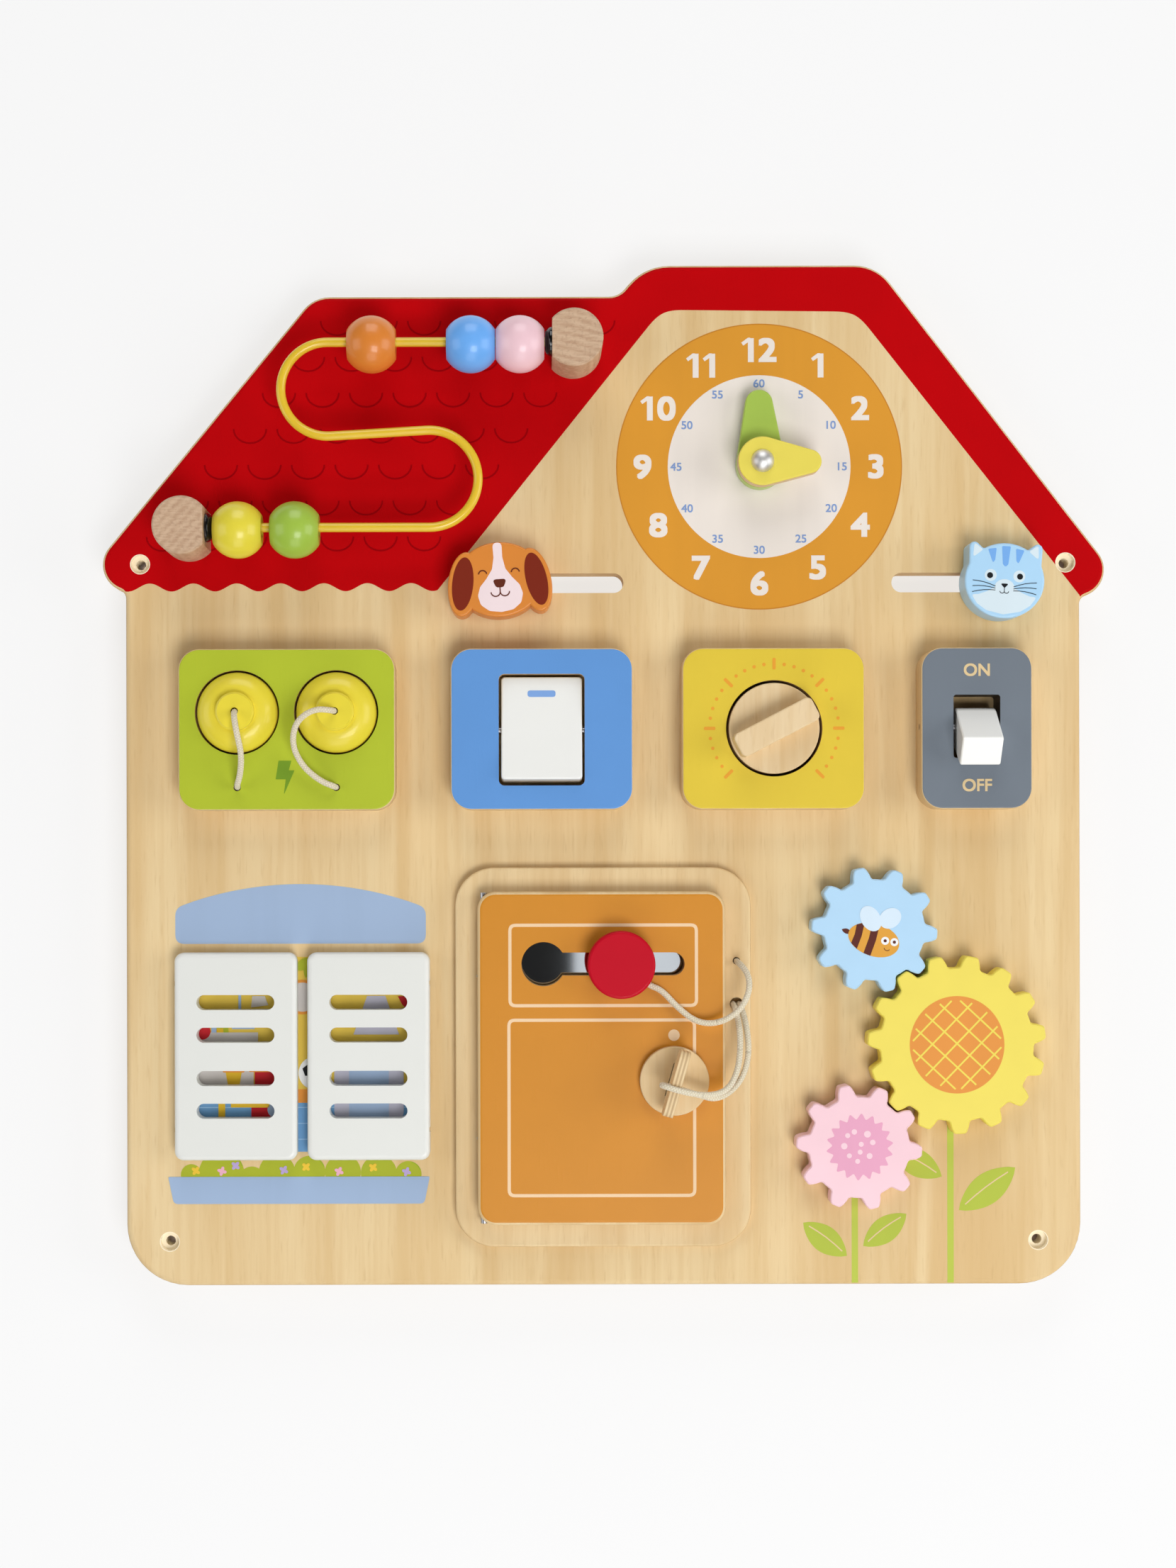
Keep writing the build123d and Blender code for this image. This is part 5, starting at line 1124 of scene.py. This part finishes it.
# %% Prints on the panels
SPARK = [(-2.8, 7.2), (2.8, 7.2), (1.6, 3.0), (4.1, 3.0), (-0.6, -7.8), (0.3, -0.9), (-4.1, -0.9)]
print_on("panel_spark", "board", inks["bolt_green"], [moved(rounded(SPARK, 0.2), -138.4, -94.3)], PANEL_TOP)
DIAL_X, DIAL_Y = 73.7, -73.5
ticks = []
for k in range(7):
    angle = 225 - 45 * k
    ticks.append(moved(box_shape(25.5, -0.7, 30.5, 0.7, 0.6), DIAL_X, DIAL_Y, angle))
    if k < 6:
        for j in range(1, 5):
            a = math.radians(angle - 9 * j)
            ticks.append(oval(DIAL_X + 28 * math.cos(a), DIAL_Y + 28 * math.sin(a), 0.75, steps=14))
print_on("dial_ticks", "board", inks["tick_orange"], ticks, PANEL_TOP)
words = lettering("ON", 5.5, 0.16, 1, 161.6, -48.3) + lettering("OFF", 5.5, 0.16, 1, 161.7, -98.3)
print_on("toggle_words", "board", inks["birch_ink"], [], PANEL_TOP, meshes=words)
print("ticks and dots:", len(ticks))

# %% [markdown]
# The rocker carries a short blue bar near its upper end. The rocker is tipped by 7
# degrees on its pin, so the bar is drawn in the rocker's own plane.

# %% Bar on the rocker
ROCKER_X, ROCKER_Y, ROCKER_PIN = -27.1, -73.9, 8.5
ROCKER_TIP = math.radians(-7.0)
ROCKER_FACE = 6.5  # mm from the pin to the rocker's face
rocker_place = Matrix.Translation((ROCKER_X * MM, ROCKER_Y * MM, ROCKER_PIN * MM))
rocker_plane = rocker_place @ Matrix.Rotation(ROCKER_TIP, 4, "X")
bar = filled([box_shape(-6.1, 13.6, 6.1, 16.5, 1.3)], 0.1)
bar.transform(rocker_plane @ Matrix.Translation((0, 0, ROCKER_FACE * MM)))
bar_ink = ink_finish("bar_ink", srgb(128, 168, 226))
print_on("rocker_bar", "rocker", bar_ink, [], FACE, meshes=[(bar, Matrix.Identity(4))])
print("bar on the rocker:", len(bar.vertices), "points")

# %% [markdown]
# The window is a picture with two real shutters over it. Above it is an awning with a
# curved top. The curve is part of a circle, found from its width and its rise.

# %% Awning
AWNING_X, AWNING_HALF, AWNING_FOOT, AWNING_SHOULDER, AWNING_RISE = -133.2, 55.1, -167.0, -151.2, 10.4
awning_r = (AWNING_HALF**2 + AWNING_RISE**2) / (2 * AWNING_RISE)


def awning_top(x):
    """Height of the awning's arc, x from its middle."""
    return AWNING_SHOULDER + AWNING_RISE - awning_r + math.sqrt(awning_r**2 - x**2)


awning = [(AWNING_X - AWNING_HALF, AWNING_FOOT), (AWNING_X + AWNING_HALF, AWNING_FOOT)]
awning += [(AWNING_X + AWNING_HALF, AWNING_SHOULDER)]
awning += [(AWNING_X + AWNING_HALF * k / 20, awning_top(AWNING_HALF * k / 20)) for k in range(17, -18, -1)]
awning += [(AWNING_X - AWNING_HALF, AWNING_SHOULDER)]
awning_radii = [4.0, 4.0, 5.0] + [0.0] * (len(awning) - 4) + [5.0]
print_on("awning", "board", inks["awning_blue"], [rounded(awning, awning_radii)], FACE)
print("the awning's arc has a radius of", round(awning_r, 1), "mm")

# %% [markdown]
# A room shows through the shutters' slots. Only strips of it are ever seen at once, so
# it is a plain nursery of a few large shapes: a shelf with blocks, a clock, a pot, a
# curtain, a ball and panelling. Farther things are on lower layers.

# %% Room in the window
ROOM_LEFT, ROOM_RIGHT, ROOM_FOOT = -184.0, -80.5, -258.5
BALL_X, BALL_Y, BALL_R = -126.9, -223.9, 7.3
BALL_PATCHES = ((-2.8, 1.2, 20), (2.9, -3.0, 50), (3.0, 3.4, 0))
pentagon = oval(0, 0, 2.9, steps=5)
print_all("board", FACE, (
    ("room_wall", "wall_yellow", 1, [box_shape(ROOM_LEFT, ROOM_FOOT, ROOM_RIGHT, -172.8, 1.0)]),
    ("room_skirting", "skirting", 2, [box_shape(ROOM_LEFT, -240.0, ROOM_RIGHT, -231.0)]),
    ("room_panelling", "panelling", 3, [box_shape(ROOM_LEFT, ROOM_FOOT, ROOM_RIGHT, -237.0)]),
    ("room_panel_lines", "pale_line", 4, [
        box_shape(ROOM_LEFT, y - 0.2, ROOM_RIGHT, y + 0.2) for y in (-239.0, -246.0, -253.0)
    ]),
    ("room_curtain", "lilac", 4, [
        [(-104.0, -190.0), (-96.0, -190.0), (-90.0, -207.0), (-110.0, -207.0)],
        box_shape(-118.5, -244.0, -88.0, -221.0, 3.0),
    ]),
    ("room_cloth", "awning_blue", 5, [box_shape(-112.0, -246.0, -94.5, -220.0, 0.5)]),
    ("room_bunting", "red", 5, [
        [(-90.5, -190.2), (-86.0, -190.2), (-86.4, -196.0), (-88.6, -193.8)],
        box_shape(-155.0, -243.5, -139.0, -236.0, 1.0), box_shape(-153.5, -229.5, -145.0, -222.0, 0.4),
        oval(-176.5, -205.5, 3.6),
    ]),
    ("room_shelf", "shelf_grey", 5, [
        box_shape(-178.0, -211.0, -152.0, -206.0), box_shape(-178.0, -229.8, -154.0, -221.5),
        [(-154.5, -190.0), (-149.0, -190.0), (-147.5, -194.0), (-155.0, -195.0)],
        oval(-132.5, -190.5, 6.4),
    ]),
    ("room_clock_rim", "skirting", 4, [oval(-132.5, -190.5, 7.6)]),
    ("room_blocks", "awning_blue", 6, [
        box_shape(-172.5, -206.0, -170.3, -201.0), box_shape(-163.5, -204.5, -153.5, -202.5),
        box_shape(-160.6, -203.0, -159.4, -189.0), oval(-144.5, -240.0, 3.4),
    ]),
    ("room_green_blocks", "hedge", 6, [
        box_shape(-170.2, -204.2, -167.4, -201.0), box_shape(-167.2, -206.0, -165.0, -203.4),
        leaf_shape(-135.5, -178.5, -128.0, -173.5, 2.4), leaf_shape(-131.0, -182.0, -129.0, -174.0, 1.8),
    ]),
    ("room_pot", "pot_yellow", 6, [
        [(-166.5, -222.5), (-159.0, -222.5), (-160.2, -229.5), (-165.2, -229.5)],
        box_shape(-170.2, -206.0, -167.3, -204.2), box_shape(-169.5, -243.5, -166.5, -236.0),
        box_shape(-164.0, -239.0, -147.0, -237.2),
    ]),
    ("room_pot_rim", "skirting", 7, [
        box_shape(-167.5, -223.6, -158.0, -221.2, 0.6), box_shape(-156.0, -223.4, -146.5, -221.2, 0.6),
    ]),
    ("room_ball", "white", 6, [oval(BALL_X, BALL_Y, BALL_R)]),
    ("room_ball_patches", "black", 7, [
        moved(pentagon, BALL_X + x, BALL_Y + y, turn) for x, y, turn in BALL_PATCHES
    ]),
))

# %% [markdown]
# Under the window grows a hedge: a row of overlapping bumps, with small flowers of four
# petals in three colours, behind a flower box.

# %% Hedge and flower box
bumps = [
    (-181.5, -268.5, 4.6), (-168.2, -268.0, 10.0), (-154.8, -271.0, 6.0), (-143.8, -267.5, 8.0),
    (-129.5, -267.3, 7.0), (-114.8, -267.5, 7.9), (-99.0, -268.0, 7.9), (-86.0, -268.5, 5.8),
]
HEDGE_FOOT = -270.0
hedge = []
for x, y, r in bumps:
    start = math.degrees(math.asin(max(-1.0, (HEDGE_FOOT - y) / r)))
    hedge.append(arc_points(x, y, r, r, start, 180 - start, steps=20))
creases = [line_shape(arc_points(x, y, r - 0.3, r - 0.3, 20, 75, steps=8), 0.35) for x, y, r in bumps[1::3]]
print_all("board", FACE, (("hedge", "hedge", 1, hedge), ("hedge_creases", "hedge_dark", 2, creases)))
flower_places = {
    "daisy_yellow": [(-179.5, -266.8, 10), (-131.0, -265.2, 0), (-101.5, -265.5, 8)],
    "daisy_pink": [(-168.0, -267.0, 30), (-116.5, -267.2, 20)],
    "daisy_lilac": [(-162.0, -264.6, 5), (-140.8, -266.6, 15), (-86.8, -267.4, 25)],
}
for ink, places in flower_places.items():
    petals = []
    for x, y, turn in places:
        for k in range(4):
            petals.append(moved(oval(1.05, 0, 1.05, 0.75, steps=14), x, y, turn + 45 + 90 * k))
    print_on(f"hedge_{ink}", "board", inks[ink], petals, FACE, layer=3)
flower_box = [(-191.6, -269.5), (-189.2, -281.4), (-79.0, -281.4), (-76.6, -269.5)]
flower_box = rounded(flower_box, [0.6, 2.4, 2.4, 0.6])
print_on("flower_box", "board", inks["awning_blue"], [flower_box], FACE, layer=4)
print("hedge bumps:", len(bumps))

# %% [markdown]
# The door is panelled with two thin cream frames and a dot by the lock. A frame is
# filled between two rounded rectangles, so it needs no cutting.

# %% Door lines
LINE = 1.4  # mm


def frame_shape(x0, y0, x1, y1, radius):
    """A rounded rectangle and the one inside it, a line's width smaller."""
    inner = box_shape(x0 + LINE, y0 + LINE, x1 - LINE, y1 - LINE, max(radius - LINE, 0.3))
    return [box_shape(x0, y0, x1, y1, radius), inner]


door_lines = [
    frame_shape(-41.8, -194.3, 40.5, -158.0, 3.2), frame_shape(-42.3, -276.7, 39.6, -199.2, 3.2),
    oval(30.0, -206.5, 2.5, steps=24),
]
print_on("door_lines", "door", inks["door_line"], door_lines, DOOR_TOP)
print("shapes on the door:", len(door_lines))

# %% [markdown]
# Two of the gears are flowers on printed stems. The stems and leaves are on the board,
# and each leaf has a pale vein that bends a little to one side.

# %% Stems and leaves
stems = [box_shape(151.0, -316.6, 153.8, -225.0), box_shape(108.9, -316.6, 111.7, -270.0)]
leaves, veins = [], []
for one_end, other_end, belly in (
    ((156.1, -284.8), (180.9, -266.1), 6.8), ((127.3, -258.1), (148.6, -270.0), 5.9),
    ((114.0, -300.5), (133.0, -286.4), 5.6), ((87.6, -290.2), (106.8, -304.8), 5.8),
):
    tip, end = Vector(one_end), Vector(other_end)
    leaves.append(leaf_shape(*tip, *end, belly))
    side = (end - tip).orthogonal().normalized()
    vein = [tip.lerp(end, t) + side * 1.0 * math.sin(math.pi * t) for t in (0.12, 0.3, 0.5, 0.7, 0.88)]
    veins.append(line_shape([tuple(v) for v in vein], 0.55))
print_all("board", FACE, (
    ("stems", "stem", 1, stems), ("leaves", "leaf", 1, leaves), ("leaf_veins", "birch_ink", 2, veins),
))

# %% [markdown]
# A bee flies over the flowers, on the third gear. Its body is an oval that is a little
# fuller at the head. Its bands follow the body's outline, with a bend in their edges.
# The bee is drawn level and then turned as a whole, and it rides on its gear.

# %% Bee
GEAR_TOP = 1.2 + 10.0  # mm, the gap under a gear and the gear
BEE_X, BEE_Y, BEE_TURN = 117.2, -165.4, -17.0
BEE_LONG, BEE_TALL = 11.4, 7.1


def bee(shape):
    """A shape drawn on the level bee, put in its place."""
    return moved(shape, BEE_X, BEE_Y, BEE_TURN)


def bee_edge(x, sign):
    """The body's outline above or below x."""
    return sign * BEE_TALL * math.sqrt(max(0.0, 1 - (x / BEE_LONG) ** 2)) * (1 + 0.0035 * x)


body = [(x, y * (1.0 + 0.04 * x / BEE_LONG)) for x, y in oval(0, 0, BEE_LONG, BEE_TALL)]
bands = []
for x0, x1 in ((-9.0, -5.9), (-2.6, 0.6)):
    bands.append(bee([(x0, bee_edge(x0, 1)), (x1, bee_edge(x1, 1)), (x1 + 0.4, 0.0),
                      (x1, bee_edge(x1, -1)), (x0, bee_edge(x0, -1)), (x0 + 0.4, 0.0)]))
eyes = [(4.9, 1.0), (8.9, 1.6)]
print_all("blue_gear", GEAR_TOP, (
    ("bee_sting", "brown", 1, [bee(leaf_shape(-14.6, 0.3, -10.0, 0.0, 1.1))]),
    ("bee_body", "honey", 2, [bee(body)]),
    ("bee_bands", "brown", 3, bands),
    ("bee_wings", "wing", 4, [
        oval(BEE_X - 1.3, BEE_Y + 9.2, 5.9, 4.2, -60), oval(BEE_X + 7.2, BEE_Y + 9.3, 5.1, 4.2, 35),
    ]),
    ("bee_eyes", "white", 3, [bee(oval(x, y, 1.75, steps=24)) for x, y in eyes]),
    ("bee_pupils", "brown", 4, [bee(oval(x, y, 0.7, steps=18)) for x, y in eyes]),
    ("bee_smile", "brown", 3, [bee(line_shape(arc_points(6.6, -1.7, 1.3, 1.2, 200, 340), 0.3))]),
))

# %% [markdown]
# The yellow gear is a sunflower. Its middle is an orange disc with a lattice of fine
# lines. Each line ends on a circle, so the lattice keeps clear of the disc's rim.

# %% Sunflower
SUN_X, SUN_Y = 153.4, -211.2
LATTICE_R = 19.3
lattice = []
for direction in (46, -43):
    for off in (-14.6, -7.1, 0.4, 7.9, 15.0):
        half = math.sqrt(LATTICE_R**2 - off**2)
        lattice.append(moved(box_shape(-half, off - 0.38, half, off + 0.38), SUN_X, SUN_Y, direction))
print_all("yellow_gear", GEAR_TOP, (
    ("sunflower_disc", "sunflower", 1, [oval(SUN_X, SUN_Y, 20.6, 21.2, steps=80)]),
    ("sunflower_lattice", "sun_line", 2, lattice),
))

# %% [markdown]
# The pink gear is a daisy: a star of eighteen short petals, with pale dots scattered
# in its middle.

# %% Daisy
DAISY_X, DAISY_Y = 111.0, -255.6
star = []
for k in range(36):
    r = 11.8 if k % 2 else 15.0
    star.append((r * math.cos(math.radians(10 * k + 7)), r * math.sin(math.radians(10 * k + 7))))
dots = [(-5.3, 5.0, 1.1), (-2.4, 6.6, 1.2), (3.3, 5.6, 1.5), (5.6, 2.0, 1.2), (0.6, 1.2, 1.1),
        (-6.8, 0.4, 1.4), (0.1, -2.2, 1.1), (4.2, -3.9, 1.3), (-4.6, -3.8, 1.1), (-1.0, -6.2, 1.1)]
print_all("pink_gear", GEAR_TOP, (
    ("daisy_petals", "petal", 1, [moved(rounded(star, 0.7), DAISY_X, DAISY_Y)]),
    ("daisy_dots", "petal_dot", 2, [oval(DAISY_X + x, DAISY_Y + y, r, steps=20) for x, y, r in dots]),
))

# %% [markdown]
# The two sliders are animal heads with a printed face. Each face is drawn upright, half
# of it mirrored from the other, and then turned with its head. The dog has a white
# blaze, dark ears and closed eyes.

# %% Dog's face
HEAD_TOP = 15.3
SIDES = (-1, 1)
DOG = turned(-45.3, -8.7, 4.0)
dog_ear = oval(-16.0, -0.9, 4.6, 11.6, -9.5)
blaze = [(-2.0, 15.9), (2.0, 15.9), (1.9, 9.5), (2.9, 4.5), (5.6, 0.6), (8.6, -2.8), (9.8, -6.6),
         (8.8, -10.6), (5.2, -13.4), (0, -14.2), (-5.2, -13.4), (-8.8, -10.6), (-9.8, -6.6),
         (-8.6, -2.8), (-5.6, 0.6), (-2.9, 4.5), (-1.9, 9.5)]
dog_strokes = [line_shape(arc_points(side * 7.1, 2.4, 1.8, 1.9, 10, 170), 0.5) for side in SIDES]
dog_strokes += [line_shape(arc_points(side * 2.0, -5.4, 2.0, 1.9, 180, 360), 0.5) for side in SIDES]
dog_strokes.append(line_shape([(0, -3.2), (0, -5.6)], 0.5))
print_all("dog_slider", HEAD_TOP, (
    ("dog_ears", "ear_brown", 1, [dog_ear, mirrored(dog_ear)]),
    ("dog_blaze", "blaze", 1, [rounded(blaze, 3.0)]),
    ("dog_nose", "nose_brown", 2, [rounded([(-3.2, 0.1), (3.2, 0.1), (1.6, -3.5), (-1.6, -3.5)], 1.5)]),
    ("dog_strokes", "nose_brown", 3, dog_strokes),
), at=DOG)

# %% [markdown]
# The cat has a pale muzzle and ear, three stripes, open eyes and whiskers. The whiskers
# bend, so each is a line through five points with a low arch in the middle.

# %% Cat's face
CAT = turned(173.8, -8.7, -3.0)
ear = rounded([(13.9, 15.0), (9.9, 12.0), (14.3, 8.4)], 0.8)
chin = [(-14.2, -7.6), (-11.2, -7.4), (-7.6, -6.0), (-4.9, -4.4), (0, -3.9), (4.9, -4.4), (7.6, -6.0),
        (11.2, -7.4), (14.2, -7.6), (11.6, -11.4), (7.4, -14.2), (0, -15.7), (-7.4, -14.2), (-11.6, -11.4)]
stripe = rounded([(-1.9, 13.9), (1.9, 13.9), (1.2, 6.2), (0.4, 5.2), (-0.4, 5.2), (-1.2, 6.2)], 0.5)
side_stripe = rounded([(-7.9, 12.4), (-4.2, 13.0), (-4.6, 7.8), (-5.4, 6.6), (-6.0, 7.6)], 0.5)
cat_black = [oval(side * 6.5, 1.0, 1.3, steps=20) for side in SIDES]
cat_black.append(rounded([(-1.9, -2.3), (1.9, -2.3), (0, -4.3)], 0.5))
cat_black += [line_shape(arc_points(side * 0.95, -5.6, 0.95, 0.9, 180, 360), 0.3) for side in SIDES]
cat_black.append(line_shape([(0, -4.0), (0, -5.7)], 0.3))
for side in SIDES:
    for low, rise in ((-3.6, 2.2), (-4.5, 0.6), (-5.3, -1.2)):
        whisker = []
        for t in (0, 0.25, 0.5, 0.75, 1):
            whisker.append((side * (3.9 + 10.0 * t), low + rise * t + 0.5 * math.sin(math.pi * t)))
        cat_black.append(line_shape(whisker, 0.28))
print_all("cat_slider", HEAD_TOP, (
    ("cat_pale", "muzzle", 1, [ear, mirrored(ear), rounded(chin, 1.5), oval(0, -4.0, 4.3, 3.6)]),
    ("cat_stripes", "stripe_blue", 1, [stripe, side_stripe, mirrored(side_stripe)]),
    ("cat_eyes", "muzzle", 1, [oval(side * 6.2, 1.1, 2.6, steps=28) for side in SIDES]),
    ("cat_black", "black", 2, cat_black),
), at=CAT)

# %% [markdown]
# The board hangs on a pale wall that glows a little, as a light table does, so that
# the slots show it bright. The wall's back is see-through, so the board can be looked
# at from behind as well.

# %% Wall
WALL_HALF = 3.0  # metres
WALL_Y = 0.0006  # a hair behind the stand-offs


def upright_sheet(name, corners, y, paint):
    """A flat sheet that stands at one depth. Its corners are given as x and z."""
    mesh = bpy.data.meshes.new(name)
    mesh.from_pydata([(x, y, z) for x, z in corners], [], [(0, 1, 2, 3)])
    mesh.materials.append(paint)
    sheet = bpy.data.objects.new(name, mesh)
    bpy.context.scene.collection.objects.link(sheet)
    return sheet


wall_paint, tree, shader = new_finish("wall_paint", 0.9)
mottle = noise(tree, surface(tree), 1.5)
feed(tree, shader.inputs["Base Color"], mixed(tree, mottle, srgb(130, 130, 130), srgb(134, 134, 134)))
shader.inputs["Emission Color"].default_value = (1.0, 1.0, 1.0, 1.0)
shader.inputs["Emission Strength"].default_value = 0.7
clear = tree.nodes.new("ShaderNodeBsdfTransparent")
two_sided = tree.nodes.new("ShaderNodeMixShader")
tree.links.new(tree.nodes.new("ShaderNodeNewGeometry").outputs["Backfacing"], two_sided.inputs[0])
tree.links.new(shader.outputs[0], two_sided.inputs[1])
tree.links.new(clear.outputs[0], two_sided.inputs[2])
tree.links.new(two_sided.outputs[0], tree.nodes["Material Output"].inputs["Surface"])
wall = upright_sheet("wall", [
    (-WALL_HALF, -WALL_HALF), (WALL_HALF, -WALL_HALF), (WALL_HALF, WALL_HALF), (-WALL_HALF, WALL_HALF),
], WALL_Y, wall_paint)
print("wall at y =", WALL_Y)

# %% [markdown]
# The room in front is dark, so that flat paint keeps its full colour and the mirror
# goes black. Four big panels at the sides light the board softly, and a lamp low on
# the right throws the shadows up the board. A dim one behind shows the back.

# %% Light
scene = bpy.context.scene
scene.view_settings.view_transform = "Standard"
world = bpy.data.worlds.new("dim_room")
world.use_nodes = True
world.node_tree.nodes["Background"].inputs["Color"].default_value = (1.0, 0.98, 0.95, 1.0)
world.node_tree.nodes["Background"].inputs["Strength"].default_value = 0.02
scene.world = world
MIDDLE = Vector((0.0, -0.024, -0.09))


def lamp(name, place, size, power):
    """A square panel of light that faces the middle of the board."""
    data = bpy.data.lights.new(name, "AREA")
    data.shape = "SQUARE"
    data.size = size
    data.energy = power
    light = bpy.data.objects.new(name, data)
    light.location = place
    light.rotation_euler = (MIDDLE - Vector(place)).to_track_quat("-Z", "Y").to_euler()
    scene.collection.objects.link(light)


lamp("main_lamp", (0.42, -1.85, -0.98), 0.9, 24.0)
lamp("left_panel", (-2.0, -1.1, -0.1), 1.4, 12.6)
lamp("right_panel", (2.0, -1.1, -0.1), 1.4, 19.6)
lamp("upper_panel", (0.0, -1.1, 1.9), 1.4, 21.2)
lamp("lower_panel", (0.0, -1.1, -2.1), 1.4, 13.2)
lamp("back_lamp", (0.6, 1.6, 0.6), 1.2, 9.0)

# %% [markdown]
# The door's slot shows a strip of mirror. Most of it mirrors the dark room, but its
# right end looks bright. A lamp there would also light the board, so a weakly glowing
# card does it, behind the camera and only as large as that end of the mirror needs.

# %% Bright card
CARD_LEFT, CARD_RIGHT, CARD_FOOT, CARD_HEAD, CARD_Y = 0.037, 0.195, -0.37, -0.18, -2.28
card_paint, tree, shader = new_finish("bright_card_paint", 0.9)
shader.inputs["Base Color"].default_value = (0.02, 0.02, 0.02, 1.0)
shader.inputs["Emission Color"].default_value = (0.94, 0.97, 1.0, 1.0)
shader.inputs["Emission Strength"].default_value = 0.85
card = upright_sheet("bright_card", [
    (CARD_LEFT, CARD_FOOT), (CARD_LEFT, CARD_HEAD), (CARD_RIGHT, CARD_HEAD), (CARD_RIGHT, CARD_FOOT),
], CARD_Y, card_paint)
print("card, in metres:", round(CARD_RIGHT - CARD_LEFT, 3), "by", round(CARD_HEAD - CARD_FOOT, 3))
